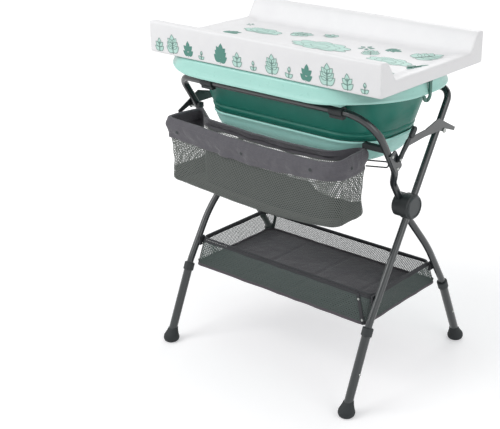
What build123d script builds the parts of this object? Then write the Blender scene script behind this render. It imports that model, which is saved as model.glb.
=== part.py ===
from build123d import *
from math import atan2, cos, radians, sin, tan
import os

# Folding changing table: a padded top over a collapsible bath, on a crossed tube frame.
# Lengths are millimetres and angles degrees. X runs along the table, front is -Y,
# and the origin is on the floor, under the middle.

# Crossed frame
pivot_height = 525.0
tube_lean = 32.2
bar_height = 816.0
tube_radius = 10.0
tube_wall = 1.4
outer_tube_x = 338.0
inner_tube_x = 312.0
jog_top_rise = 123.0
jog_top_end_rise = 75.0
jog_low_drop = 55.0
jog_low_end_drop = 153.0
tight_corner_radius = 36.0
wide_corner_radius = 88.0
jog_bend_radius = 46.0
leg_bend_height = 240.0
leg_bend_radius = 60.0
foot_reach = 278.0
foot_middle_height = 20.0

# Hub at each end of the pivot axis
hub_inner_radius = 33.0
hub_outer_radius = 36.0
hub_inner_face = 296.0
hub_outer_face = 351.0
hub_split = 325.2
hub_edge_bevel = 4.0
cap_thickness = 5.0
cap_dish_radius = 26.0
cap_dish_depth = 1.5
axle_radius = 4.0
axle_head_radius = 8.0
axle_head_thickness = 5.0
axle_washer_radius = 11.0
axle_washer_thickness = 1.6

# Telescopic legs
sleeve_radius = 12.5
sleeve_top_drop = 14.0
sleeve_end_height = 9.0
inner_leg_end_drop = 222.0
collar_radius = 15.5
collar_length = 24.0
collar_lip = 3.0
collar_edge = 1.5
button_radius = 3.6
button_drop = 140.0
button_travel = 2.5
button_hole_pitch = 30.0
button_hole_count = 3
foot_radius = 22.5
foot_sole_radius = 14.0
foot_waist_height = 17.0
foot_top_height = 37.0
foot_top_radius = 17.5
foot_low_bulge_radius = 20.4
foot_low_bulge_height = 6.5
foot_high_bulge_radius = 21.2
foot_high_bulge_height = 30.0

# Brace that keeps the frame open
strap_thickness = 3.0
bracket_half_length = 31.0
bracket_width = 32.0
bracket_reach = 20.0
bracket_centre_along = 182.0
pivot_along = 182.0
pivot_off = 14.0
rivet_radius = 2.6
rivet_head_radius = 4.2
rivet_head_height = 1.8
rivet_head_taper = 20.0
strap_half_width = 7.0
stud_past_tube = 8.5
strap_rise = 32.0
stud_radius = 4.0
stud_head_radius = 7.0
stud_head_thickness = 2.4
notch_radius = 5.6
lever_width = 13.0
lever_reach = 98.0
lever_angle = 50.0
grip_length = 34.0
grip_thickness = 9.0
grip_width = 16.0

# Holders on the top bars
holder_place = 228.0
holder_length = 42.0
holder_radius = 14.0
holder_foot_width = 15.0
holder_foot_depth = 9.0

# Bath
rim_over_bar = 70.0
rim_past_bar = 56.75
rim_lip_depth = 45.0
rim_left = 397.0
rim_right = 387.0
rim_left_flat = 90.0
rim_right_flat = 26.0
rim_draft = 7.0
rim_edge_radius = 7.0
rim_thickness = 4.0
rim_collar_depth = 52.0
rim_collar_inside_bar = 15.25
rim_collar_half_length = 336.0
rim_collar_wall = 4.5
bath_left_flat = 50.0
bath_right_flat = 28.0
wall_thickness = 3.0
wall_depth = 110.0
wall_end_draft = 40.0
wall_side_draft = 22.0
wall_band_rise = 16.0
wall_band_height = 12.0
wall_band_bulge = 3.0
pan_edge_height = 8.0
pan_edge_out = 3.0
pan_turn_drop = 34.0
pan_turn_end_inset = 10.0
pan_turn_side_inset = 6.0
pan_round_drop = 59.0
pan_round_end_inset = 26.0
pan_round_side_inset = 22.0
pan_depth = 69.0
pan_bottom_end_inset = 46.0
pan_bottom_side_inset = 42.0
pan_wall = 3.0
seat_length = 36.0
seat_width = 22.0
drain_radius = 16.0
drain_place = 180.0
plug_flange_radius = 21.0
plug_flange_thickness = 3.0
plug_knob_radius = 6.0
plug_knob_height = 12.0
display_length = 52.0
display_width = 26.0
display_depth = 2.5
display_place = 205.0
display_window_margin = 5.0
display_window_depth = 0.6

# Hook on the right end of the rim
hook_thickness = 4.0
hook_outer_radius = 19.0
hook_inner_radius = 9.0
hook_shank = 30.0
hook_middle = -17.0
hook_hole_radius = 3.4
hook_clip_width = 26.0
hook_clip_depth = 16.0

# Padded changing top
top_length = 800.0
top_width = 473.0
top_over_rim = 2.0
top_height = 86.0
top_floor = 24.0
top_floor_crown = 3.0
wall_crest = 30.0
wall_foot = 66.0
crest_radius = 13.0
lip_height = 35.0
lip_crest = 26.0
lip_foot = 58.0
top_corner_radius = 20.0
top_edge_radius = 5.0
board_margin = 14.0
board_thickness = 6.0
pad_length = 32.0
pad_width = 22.0
end_pad_shift = 79.0

# Upper basket, carried by the front frame
basket_left = -324.0
basket_right = 272.0
basket_front_reach = 138.0
basket_middle_reach = 61.0
basket_end_setback = 2.0
basket_drop = 110.0
basket_depth = 190.0
basket_corner_radius = 34.0
basket_back_bend = 72.0
basket_back_corner_radius = 8.0
basket_back_bend_radius = 60.0
basket_bottom_inset = 16.0
basket_wall = 2.0
band_height = 60.0
band_wall = 1.6
hoop_radius = 2.5
loop_radius = 2.0
loop_drop = 39.0
loop_spacing = 16.0
loop_bend_radius = 7.2
carrier_lap = 3.0
carrier_width = 18.0
carrier_height = 14.0
snap_radius = 5.0
snap_height = 1.6
snap_sink = 0.6
snap_place_shares = (0.06, 0.36, 0.66, 0.93)

# Lower shelf
shelf_half_length = 322.0
shelf_top = 300.0
shelf_bottom = 226.0
shelf_top_past_leg = 4.3
shelf_bottom_inside_leg = 1.5
shelf_corner_radius = 22.0
shelf_wall = 1.6
shelf_floor_thickness = 3.0
binding_radius = 3.5
binding_chamfer_share = 0.55
tie_width = 22.0
tie_height = 20.0

# Clearances
seat_gap = 0.3
running_gap = 0.05
overrun = 60.0

# Values that follow from the sizes above
lean = tan(radians(tube_lean))
up_front = Vector(0, -sin(radians(tube_lean)), cos(radians(tube_lean)))
off_front = Vector(0, cos(radians(tube_lean)), sin(radians(tube_lean)))
leg_bend_y = (pivot_height - leg_bend_height) * lean
leg_run_y = foot_reach - leg_bend_y
leg_run_z = leg_bend_height - foot_middle_height
leg_angle = atan2(leg_run_y, leg_run_z)
bar_y = (bar_height - pivot_height) * lean
pivot = Vector(0, 0, pivot_height)
jog_top = pivot_height + jog_top_rise
jog_top_end = pivot_height + jog_top_end_rise
jog_low = pivot_height - jog_low_drop
jog_low_end = pivot_height - jog_low_end_drop
arm_face = outer_tube_x + tube_radius + strap_thickness + 2 * seat_gap + rivet_head_height


def leg_y(height):
    """Distance of the front frame's tube from the middle plane, front negative."""
    return (pivot_height - height) * lean


def front_point(x, height):
    return Vector(x, leg_y(height), height)


def leg_down(side):
    """Unit vector down a lower leg on the given side, front -1 or back 1."""
    return Vector(0, side * sin(leg_angle), -cos(leg_angle))


def leg_start(x_side, y_side):
    return Vector(x_side * outer_tube_x, y_side * leg_bend_y, leg_bend_height)


def turned(part):
    """The same piece for the other frame: half a turn about the upright axis."""
    return part.rotate(Axis.Z, 180)


def keep(part, name):
    part.label = name
    export_step(part, os.path.join("parts", name + ".step"))


def egg_outline(left, right, half_width, left_corner, right_corner):
    """A rounded outline whose left and right ends have corners of their own."""
    with BuildLine() as line:
        FilletPolyline(
            (-left, 0),
            (-left, half_width),
            (right, half_width),
            (right, 0),
            radius=[left_corner, right_corner],
        )
        mirror(line.line, about=Plane.XZ)
    make_face(line.edges())


os.makedirs("parts", exist_ok=True)

# Each frame is one bent tube: a top bar, a straight leg at one end and, at the other,
# a leg that steps inwards to pass beside the straight leg of the other frame.
tube_points = [
    leg_start(-1, 1) + leg_down(1) * inner_leg_end_drop,
    leg_start(-1, 1),
    front_point(-outer_tube_x, bar_height),
    front_point(outer_tube_x, bar_height),
    front_point(outer_tube_x, jog_top),
    front_point(inner_tube_x, jog_top_end),
    front_point(inner_tube_x, jog_low),
    front_point(outer_tube_x, jog_low_end),
    leg_start(1, 1),
    leg_start(1, 1) + leg_down(1) * inner_leg_end_drop,
]
jog_bends = [jog_bend_radius, jog_bend_radius, jog_bend_radius, jog_bend_radius]
straight_above_jog = (bar_height - jog_top) / cos(radians(tube_lean)) - jog_bend_radius / 2
wide_bend = min(wide_corner_radius, straight_above_jog)
tube_bends = [leg_bend_radius, tight_corner_radius, wide_bend, *jog_bends, leg_bend_radius]

with BuildPart() as front_frame_tube:
    with BuildLine() as tube_path:
        FilletPolyline(*tube_points, radius=tube_bends)
    with BuildSketch(Plane(origin=tube_path.line @ 0, z_dir=tube_path.line % 0)):
        Circle(tube_radius)
        Circle(tube_radius - tube_wall, mode=Mode.SUBTRACT)
    sweep()
    # Holes for the axles, and the row of height holes in each lower leg
    with BuildSketch(Plane.YZ.offset(-outer_tube_x - overrun)):
        with Locations((0, pivot_height)):
            Circle(axle_radius + running_gap)
    extrude(amount=2 * (outer_tube_x + overrun), mode=Mode.SUBTRACT)
    for x_side in (-1, 1):
        for step in range(button_hole_count):
            drop = button_drop + step * button_hole_pitch
            spot = leg_start(x_side, 1) + leg_down(1) * drop
            with BuildSketch(Plane(origin=spot, z_dir=(x_side, 0, 0))):
                Circle(button_radius + running_gap)
            extrude(amount=tube_radius + tube_wall, mode=Mode.SUBTRACT)
keep(front_frame_tube.part, "front_frame_tube")
keep(turned(front_frame_tube.part), "rear_frame_tube")


# Hub: one moulded half on each tube, turning face to face about the axle
def hub_half(inner_face, outer_face, radius, tube_x, tube_direction, edge_on_outside):
    with BuildPart() as half:
        with BuildSketch(Plane.YZ.offset(inner_face)):
            with Locations((0, pivot_height)):
                Circle(radius)
        extrude(amount=outer_face - inner_face)
        rims = half.edges().filter_by(GeomType.CIRCLE).sort_by(Axis.X)
        chamfer(rims[-1] if edge_on_outside else rims[0], hub_edge_bevel)
        with BuildSketch(Plane(origin=(tube_x, 0, pivot_height), z_dir=tube_direction)):
            Circle(tube_radius)
        extrude(amount=radius + overrun, both=True, mode=Mode.SUBTRACT)
        with BuildSketch(Plane.YZ.offset(inner_face - overrun)):
            with Locations((0, pivot_height)):
                Circle(axle_radius + running_gap)
        extrude(amount=outer_face - inner_face + 2 * overrun, mode=Mode.SUBTRACT)
    return half.part


up_rear = Vector(0, -up_front.Y, up_front.Z)
inner_half = hub_half(hub_inner_face, hub_split - seat_gap, hub_inner_radius, inner_tube_x, up_front, False)
outer_half = hub_half(hub_split, hub_outer_face, hub_outer_radius, outer_tube_x, up_rear, True)
keep(inner_half, "right_inner_hub")
keep(outer_half, "right_outer_hub")
keep(turned(inner_half), "left_inner_hub")
keep(turned(outer_half), "left_outer_hub")

# Plain domed cap over the end of the axle
with BuildPart() as hub_cap:
    with BuildSketch(Plane.YZ.offset(hub_outer_face)):
        with Locations((0, pivot_height)):
            Circle(hub_outer_radius - hub_edge_bevel)
    extrude(amount=cap_thickness)
    chamfer(hub_cap.edges().filter_by(GeomType.CIRCLE).sort_by(Axis.X)[-1], cap_thickness / 2)
    with BuildSketch(Plane.YZ.offset(hub_outer_face + cap_thickness - cap_dish_depth)):
        with Locations((0, pivot_height)):
            Circle(cap_dish_radius)
    extrude(amount=cap_dish_depth + overrun, mode=Mode.SUBTRACT)
keep(hub_cap.part, "right_hub_cap")
keep(turned(hub_cap.part), "left_hub_cap")

# Axle bolt with its head and washer against the inner half
axle_head_face = hub_inner_face - seat_gap - axle_washer_thickness
with BuildPart() as hub_axle:
    with BuildSketch(Plane.YZ.offset(axle_head_face)):
        with Locations((0, pivot_height)):
            Circle(axle_radius)
    extrude(amount=hub_outer_face - axle_head_face - seat_gap)
    with BuildSketch(Plane.YZ.offset(axle_head_face)):
        with Locations((0, pivot_height)):
            Circle(axle_washer_radius)
    extrude(amount=axle_washer_thickness)
    with BuildSketch(Plane.YZ.offset(axle_head_face - axle_head_thickness)):
        with Locations((0, pivot_height)):
            RegularPolygon(axle_head_radius, 6)
    extrude(amount=axle_head_thickness)
keep(hub_axle.part, "right_hub_axle")
keep(turned(hub_axle.part), "left_hub_axle")

# Lower legs: a sleeve over the end of each frame tube, with a collar, a foot and a snap button
sleeve_length = (leg_bend_height - sleeve_end_height) / cos(leg_angle) - sleeve_top_drop
leg_names = {(-1, -1): "front_left", (1, -1): "front_right", (-1, 1): "back_left", (1, 1): "back_right"}
for (x_side, y_side), corner in leg_names.items():
    down = leg_down(y_side)
    top = leg_start(x_side, y_side)
    outward = Vector(x_side, 0, 0)
    button_spot = top + down * button_drop
    with BuildPart() as leg_sleeve:
        with BuildSketch(Plane(origin=top + down * sleeve_top_drop, z_dir=down)):
            Circle(sleeve_radius)
            Circle(tube_radius + running_gap, mode=Mode.SUBTRACT)
        extrude(amount=sleeve_length)
        with BuildSketch(Plane(origin=button_spot, z_dir=outward)):
            Circle(button_radius + running_gap)
        extrude(amount=sleeve_radius + button_travel, mode=Mode.SUBTRACT)
    keep(leg_sleeve.part, corner + "_leg_sleeve")

    with BuildPart() as leg_collar:
        collar_top = top + down * (sleeve_top_drop - collar_lip)
        with BuildSketch(Plane(origin=collar_top, z_dir=down)):
            Circle(collar_radius)
        extrude(amount=collar_length)
        chamfer(leg_collar.edges().filter_by(GeomType.CIRCLE), collar_edge)
        with BuildSketch(Plane(origin=collar_top - down * overrun, z_dir=down)):
            Circle(tube_radius + seat_gap)
        extrude(amount=collar_length + 2 * overrun, mode=Mode.SUBTRACT)
        with BuildSketch(Plane(origin=top + down * sleeve_top_drop, z_dir=down)):
            Circle(sleeve_radius)
        extrude(amount=collar_length, mode=Mode.SUBTRACT)
    keep(leg_collar.part, corner + "_leg_collar")

    with BuildPart() as foot:
        foot_middle = Vector(x_side * outer_tube_x, y_side * foot_reach, 0)
        with BuildSketch(Plane(origin=foot_middle, x_dir=(1, 0, 0), z_dir=(0, -1, 0))):
            with BuildLine():
                sole = Line((0, 0), (foot_sole_radius, 0))
                lower = ThreePointArc(
                    sole @ 1,
                    (foot_low_bulge_radius, foot_low_bulge_height),
                    (foot_radius, foot_waist_height),
                )
                upper = ThreePointArc(
                    lower @ 1,
                    (foot_high_bulge_radius, foot_high_bulge_height),
                    (foot_top_radius, foot_top_height),
                )
                crown = Line(upper @ 1, (0, foot_top_height))
                Line(crown @ 1, (0, 0))
            make_face()
        revolve(axis=Axis(foot_middle, (0, 0, 1)))
        with BuildSketch(Plane(origin=top + down * sleeve_top_drop, z_dir=down)):
            Circle(sleeve_radius)
        extrude(amount=sleeve_length, mode=Mode.SUBTRACT)
    keep(foot.part, corner + "_foot")

    with BuildPart() as snap_button:
        shank = sleeve_radius - tube_radius - running_gap
        with BuildSketch(Plane(origin=button_spot + outward * (tube_radius + running_gap), z_dir=outward)):
            Circle(button_radius)
        extrude(amount=shank + button_travel)
        chamfer(snap_button.edges().sort_by(Axis(button_spot, outward))[-1], button_travel / 2)
    keep(snap_button.part, corner + "_snap_button")

# Brace: a bracket riveted to one upper tube, a strap arm pivoted on it that drops over
# a headed stud on the other tube, and a lever on the same pivot that lifts the arm.
bracket_face = outer_tube_x + tube_radius + seat_gap
bracket_plane = Plane(
    origin=pivot + up_front * bracket_centre_along + Vector(bracket_face, 0, 0),
    x_dir=up_front,
    z_dir=(1, 0, 0),
)
bracket_middle = bracket_width / 2 - bracket_reach
arm_pivot = pivot + up_front * pivot_along + off_front * pivot_off
pivot_y, pivot_z = arm_pivot.Y, arm_pivot.Z
rivet_rows = [-bracket_half_length + rivet_head_radius * 2, bracket_half_length - rivet_head_radius * 2]
with BuildPart() as brace_bracket:
    with BuildSketch(bracket_plane):
        with Locations((0, bracket_middle)):
            RectangleRounded(2 * bracket_half_length, bracket_width, strap_half_width)
        with Locations((pivot_along - bracket_centre_along, -pivot_off)):
            Circle(rivet_radius + running_gap, mode=Mode.SUBTRACT)
        with Locations(*[(row, 0) for row in rivet_rows]):
            Circle(rivet_radius, mode=Mode.SUBTRACT)
    extrude(amount=strap_thickness)
keep(brace_bracket.part, "right_brace_bracket")
keep(turned(brace_bracket.part), "left_brace_bracket")

with BuildPart() as bracket_rivets:
    for row in rivet_rows:
        spot = pivot + up_front * (bracket_centre_along + row) + Vector(outer_tube_x + tube_radius, 0, 0)
        with BuildSketch(Plane(origin=spot, z_dir=(1, 0, 0))):
            Circle(rivet_radius)
        extrude(amount=strap_thickness + seat_gap)
        with BuildSketch(Plane(origin=spot + Vector(strap_thickness + seat_gap, 0, 0), z_dir=(1, 0, 0))):
            Circle(rivet_head_radius)
        extrude(amount=rivet_head_height, taper=rivet_head_taper)
keep(bracket_rivets.part, "right_bracket_rivets")
keep(turned(bracket_rivets.part), "left_bracket_rivets")

# Arm outline in shares of its span from the pivot to the stud, upper edge first
arm_upper_shares = [(0.15, 0.217), (0.50, 0.236), (0.57, 0.240), (0.872, 0.316), (0.924, 0.288)]
arm_upper_shares += [(1.27, 0.108)]
arm_lower_shares = [(1.25, 0.062), (1.06, 0.130), (0.86, 0.146), (0.55, 0.150), (0.20, 0.126)]
stud_z = pivot_z + strap_rise - notch_radius
stud_y = (stud_z - pivot_height) * lean + stud_past_tube
strap_span = stud_y - pivot_y
with BuildPart() as brace_arm:
    arm_plane = Plane(origin=(arm_face, pivot_y, pivot_z), x_dir=(0, 1, 0), z_dir=(1, 0, 0))
    with BuildSketch(arm_plane):
        Circle(strap_half_width + rivet_radius)
        with BuildLine():
            eye_across = strap_half_width * sin(radians(lever_angle))
            eye_along = strap_half_width * cos(radians(lever_angle))
            upper_points = [(a * strap_span, b * strap_span) for a, b in arm_upper_shares]
            lower_points = [(a * strap_span, b * strap_span) for a, b in arm_lower_shares]
            eye_points = [(eye_across, -eye_along), (-eye_across, eye_along)]
            Polyline(*upper_points, *lower_points, *eye_points, close=True)
        make_face()
        with Locations((strap_span, strap_rise - notch_radius - seat_gap)):
            Circle(notch_radius, mode=Mode.SUBTRACT)
            with Locations((0, -notch_radius)):
                Rectangle(2 * notch_radius, 2 * notch_radius, mode=Mode.SUBTRACT)
        Circle(rivet_radius + running_gap, mode=Mode.SUBTRACT)
    extrude(amount=strap_thickness)
keep(brace_arm.part, "right_brace_arm")
keep(turned(brace_arm.part), "left_brace_arm")

# Pivot pin through bracket, arm and lever
lever_face = arm_face + strap_thickness + seat_gap
with BuildPart() as brace_pin:
    bracket_outer_face = bracket_face + strap_thickness
    with BuildSketch(Plane(origin=(bracket_outer_face, pivot_y, pivot_z), z_dir=(1, 0, 0))):
        Circle(rivet_head_radius)
    extrude(amount=arm_face - seat_gap - bracket_outer_face)
    with BuildSketch(Plane(origin=(bracket_face, pivot_y, pivot_z), z_dir=(1, 0, 0))):
        Circle(rivet_radius)
    pin_head_face = lever_face + strap_thickness + seat_gap
    extrude(amount=pin_head_face - bracket_face)
    with BuildSketch(Plane(origin=(pin_head_face, pivot_y, pivot_z), z_dir=(1, 0, 0))):
        Circle(rivet_head_radius)
    extrude(amount=rivet_head_height, taper=rivet_head_taper)
keep(brace_pin.part, "right_brace_pin")
keep(turned(brace_pin.part), "left_brace_pin")

with BuildPart() as brace_lever:
    lever_plane = Plane(
        origin=(lever_face, pivot_y, pivot_z),
        x_dir=(0, cos(radians(lever_angle)), sin(radians(lever_angle))),
        z_dir=(1, 0, 0),
    )
    with BuildSketch(lever_plane):
        with Locations(((lever_reach - grip_length / 2) / 2, 0)):
            SlotOverall(lever_reach - grip_length / 2 + lever_width, lever_width)
        Circle(rivet_radius + running_gap, mode=Mode.SUBTRACT)
    extrude(amount=strap_thickness)
    with BuildSketch(lever_plane):
        with Locations((lever_reach - grip_length / 2, 0)):
            SlotOverall(grip_length, grip_width)
    extrude(amount=grip_thickness)
    chamfer(brace_lever.faces().sort_by(Axis.X)[-1].edges(), strap_thickness / 2)
keep(brace_lever.part, "right_brace_lever")
keep(turned(brace_lever.part), "left_brace_lever")

# Headed stud on the straight tube of the other frame; the tube's side is met end on
with BuildPart() as brace_stud:
    with BuildSketch(Plane(origin=(outer_tube_x, stud_y, stud_z), z_dir=(1, 0, 0))):
        Circle(stud_radius)
    extrude(amount=lever_face - outer_tube_x)
    with BuildSketch(Plane(origin=(lever_face, stud_y, stud_z), z_dir=(1, 0, 0))):
        Circle(stud_head_radius)
    extrude(amount=stud_head_thickness)
    with BuildSketch(Plane(origin=(outer_tube_x, 0, pivot_height), z_dir=up_rear)):
        Circle(tube_radius)
    extrude(amount=bar_height - pivot_height, mode=Mode.SUBTRACT)
keep(brace_stud.part, "right_brace_stud")
keep(turned(brace_stud.part), "left_brace_stud")

# Holders clipped round the top bars, with a foot below
with BuildPart() as front_bar_holders:
    for place in (-holder_place, holder_place):
        with BuildSketch(Plane.YZ.offset(place - holder_length / 2)):
            with Locations((-bar_y, bar_height)):
                Circle(holder_radius)
                with Locations((0, -holder_radius)):
                    Rectangle(holder_foot_width, holder_foot_depth)
                Circle(tube_radius, mode=Mode.SUBTRACT)
        extrude(amount=holder_length)
keep(front_bar_holders.part, "front_bar_holders")
keep(turned(front_bar_holders.part), "rear_bar_holders")

# Bath rim: a broad flange with a turned-down lip outside and a collar inside,
# and a moulded seat over each bar holder
rim_top = bar_height + rim_over_bar
rim_under = rim_top - rim_thickness
rim_bottom = rim_top - rim_lip_depth
rim_half_width = bar_y + rim_past_bar
rim_left_corner = rim_half_width - rim_left_flat
rim_right_corner = rim_half_width - rim_right_flat
rim_collar_bottom = rim_top - rim_collar_depth
rim_collar_half_width = bar_y - rim_collar_inside_bar
bath_left_corner = rim_collar_half_width - bath_left_flat
bath_right_corner = rim_collar_half_width - bath_right_flat
with BuildPart() as bath_rim:
    with BuildSketch(Plane.XY.offset(rim_bottom)):
        egg_outline(rim_left, rim_right, rim_half_width, rim_left_corner, rim_right_corner)
    with BuildSketch(Plane.XY.offset(rim_top)):
        egg_outline(
            rim_left - rim_draft,
            rim_right - rim_draft,
            rim_half_width - rim_draft,
            rim_left_corner - rim_draft,
            rim_right_corner - rim_draft,
        )
    loft(ruled=True)
    fillet(bath_rim.faces().sort_by(Axis.Z)[-1].edges(), rim_edge_radius)
    with BuildSketch(Plane.XY.offset(rim_bottom)):
        egg_outline(
            rim_left - rim_thickness,
            rim_right - rim_thickness,
            rim_half_width - rim_thickness,
            rim_left_corner - rim_thickness,
            rim_right_corner - rim_thickness,
        )
    with BuildSketch(Plane.XY.offset(rim_under)):
        hollow = rim_draft + rim_thickness
        egg_outline(
            rim_left - hollow,
            rim_right - hollow,
            rim_half_width - hollow,
            rim_left_corner - hollow,
            rim_right_corner - hollow,
        )
    loft(ruled=True, mode=Mode.SUBTRACT)
    with BuildSketch(Plane.XY.offset(rim_collar_bottom)):
        egg_outline(
            rim_collar_half_length,
            rim_collar_half_length,
            rim_collar_half_width,
            bath_left_corner,
            bath_right_corner,
        )
    extrude(amount=rim_under - rim_collar_bottom)
    with BuildSketch(Plane.XY.offset(rim_under)):
        for x_side in (-1, 1):
            for y_side in (-1, 1):
                with Locations((x_side * holder_place, y_side * bar_y)):
                    Rectangle(seat_length, seat_width)
    extrude(amount=-(rim_under - bar_height - holder_radius - seat_gap))
    with BuildSketch(Plane.XY.offset(rim_collar_bottom - overrun)):
        egg_outline(
            rim_collar_half_length - rim_collar_wall,
            rim_collar_half_length - rim_collar_wall,
            rim_collar_half_width - rim_collar_wall,
            bath_left_corner - rim_collar_wall,
            bath_right_corner - rim_collar_wall,
        )
    extrude(amount=rim_top - rim_collar_bottom + 2 * overrun, mode=Mode.SUBTRACT)
    rim_shelf_y = (rim_half_width + rim_collar_half_width) / 2
    with BuildSketch(Plane.XY.offset(rim_top - display_depth)):
        with Locations((display_place, -rim_shelf_y)):
            RectangleRounded(display_length, display_width, display_depth)
    extrude(amount=display_depth + overrun, mode=Mode.SUBTRACT)
keep(bath_rim.part, "bath_rim")

with BuildPart() as water_display:
    with BuildSketch(Plane.XY.offset(rim_top - display_depth)):
        with Locations((display_place, -rim_shelf_y)):
            RectangleRounded(display_length, display_width, display_depth)
    extrude(amount=display_depth)
    with BuildSketch(Plane.XY.offset(rim_top - display_window_depth)):
        with Locations((display_place, -rim_shelf_y)):
            Rectangle(display_length - 2 * display_window_margin, display_width - 2 * display_window_margin)
    extrude(amount=display_window_depth, mode=Mode.SUBTRACT)
keep(water_display.part, "water_display")


# Soft folding wall between the rim's collar and the pan, with a fold band low down
def ring_sections(sections, inset):
    """Outlines of the bath at several heights, drawn in by the given wall."""
    faces = []
    for height, half_length, half_width in sections:
        drawn_in = rim_collar_half_width - half_width + inset
        with BuildSketch(Plane.XY.offset(height)) as section:
            egg_outline(
                half_length - inset,
                half_length - inset,
                half_width - inset,
                bath_left_corner - drawn_in,
                bath_right_corner - drawn_in,
            )
        faces.append(section.sketch.face())
    return faces


def wall_section(rise, bulge):
    """Height, half length and half width of the wall at a rise above its lower edge."""
    fall_share = 1 - rise / wall_depth
    return (
        wall_bottom + rise,
        rim_collar_half_length - fall_share * wall_end_draft + bulge,
        rim_collar_half_width - fall_share * wall_side_draft + bulge,
    )


wall_bottom = rim_collar_bottom - wall_depth
wall_sections = [
    wall_section(wall_depth, 0),
    wall_section(wall_band_rise + wall_band_height, 0),
    wall_section(wall_band_rise, wall_band_bulge),
    wall_section(0, 0),
]
with BuildPart() as bath_wall:
    loft(ring_sections(wall_sections, 0), ruled=True)
    loft(ring_sections(wall_sections, wall_thickness), ruled=True, mode=Mode.SUBTRACT)
keep(bath_wall.part, "bath_wall")

# Hard base pan with a drain near its right end
pan_half_length = rim_collar_half_length - wall_end_draft
pan_half_width = rim_collar_half_width - wall_side_draft
pan_bottom = wall_bottom - pan_depth
pan_steps = [
    (0, -pan_edge_out, -pan_edge_out),
    (pan_edge_height, -pan_edge_out, -pan_edge_out),
    (pan_turn_drop, pan_turn_end_inset, pan_turn_side_inset),
    (pan_round_drop, pan_round_end_inset, pan_round_side_inset),
    (pan_depth, pan_bottom_end_inset, pan_bottom_side_inset),
]
pan_outer = [
    (wall_bottom - drop, pan_half_length - end_inset, pan_half_width - side_inset)
    for drop, end_inset, side_inset in pan_steps
]
pan_inner = [(height + pan_wall, length, width) for height, length, width in pan_outer]
pan_inner[0] = (wall_bottom + pan_wall, pan_outer[0][1], pan_outer[0][2])
with BuildPart() as bath_pan:
    loft(ring_sections(pan_outer, 0), ruled=True)
    loft(ring_sections(pan_inner, pan_wall), ruled=True, mode=Mode.SUBTRACT)
    with BuildSketch(Plane.XY.offset(pan_bottom - overrun)):
        with Locations((drain_place, 0)):
            Circle(drain_radius)
    extrude(amount=2 * overrun, mode=Mode.SUBTRACT)
keep(bath_pan.part, "bath_pan")

# Plug, pushed into the drain from above
with BuildPart() as drain_plug:
    plug_base = pan_bottom + pan_wall + seat_gap
    with BuildSketch(Plane.XY.offset(plug_base)):
        with Locations((drain_place, 0)):
            Circle(plug_flange_radius)
    extrude(amount=plug_flange_thickness)
    with BuildSketch(Plane.XY.offset(pan_bottom)):
        with Locations((drain_place, 0)):
            Circle(drain_radius - running_gap)
    extrude(amount=plug_base - pan_bottom)
    with BuildSketch(Plane.XY.offset(plug_base + plug_flange_thickness)):
        with Locations((drain_place, 0)):
            Circle(plug_knob_radius)
    extrude(amount=plug_knob_height)
    chamfer(drain_plug.faces().sort_by(Axis.Z)[-1].edges(), plug_knob_radius / 4)
keep(drain_plug.part, "drain_plug")

# Hook on the right end of the rim, hung from a clip over the rim's edge
hook_face = rim_right + seat_gap
top_bottom = rim_top + top_over_rim
hook_centre_z = rim_bottom + hook_inner_radius
hook_bar_y = hook_middle + (hook_outer_radius + hook_inner_radius) / 2
with BuildPart() as rim_hook:
    with BuildSketch(Plane.YZ.offset(hook_face)):
        with Locations((hook_middle, hook_centre_z)):
            Circle(hook_outer_radius)
            Circle(hook_inner_radius, mode=Mode.SUBTRACT)
            with Locations((-hook_outer_radius / 2, hook_outer_radius / 2)):
                Rectangle(2 * hook_outer_radius, hook_outer_radius, mode=Mode.SUBTRACT)
        with Locations((hook_bar_y, hook_centre_z + hook_shank / 2)):
            Rectangle(hook_outer_radius - hook_inner_radius, hook_shank)
        with Locations((hook_middle, hook_centre_z - (hook_outer_radius + hook_inner_radius) / 2)):
            Circle(hook_hole_radius, mode=Mode.SUBTRACT)
    extrude(amount=hook_thickness)
keep(rim_hook.part, "rim_hook")

with BuildPart() as hook_clip:
    clip_top = top_bottom - seat_gap
    clip_drop = hook_centre_z + hook_shank
    with BuildSketch(Plane.YZ.offset(hook_face - hook_clip_depth)):
        with Locations((hook_bar_y, (clip_top + rim_top) / 2)):
            Rectangle(hook_clip_width, clip_top - rim_top)
    extrude(amount=hook_clip_depth + hook_thickness)
    with BuildSketch(Plane.YZ.offset(hook_face)):
        with Locations((hook_bar_y, (clip_top + clip_drop) / 2)):
            Rectangle(hook_clip_width / 2, clip_top - clip_drop)
    extrude(amount=hook_thickness)
keep(hook_clip.part, "hook_clip")

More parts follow.
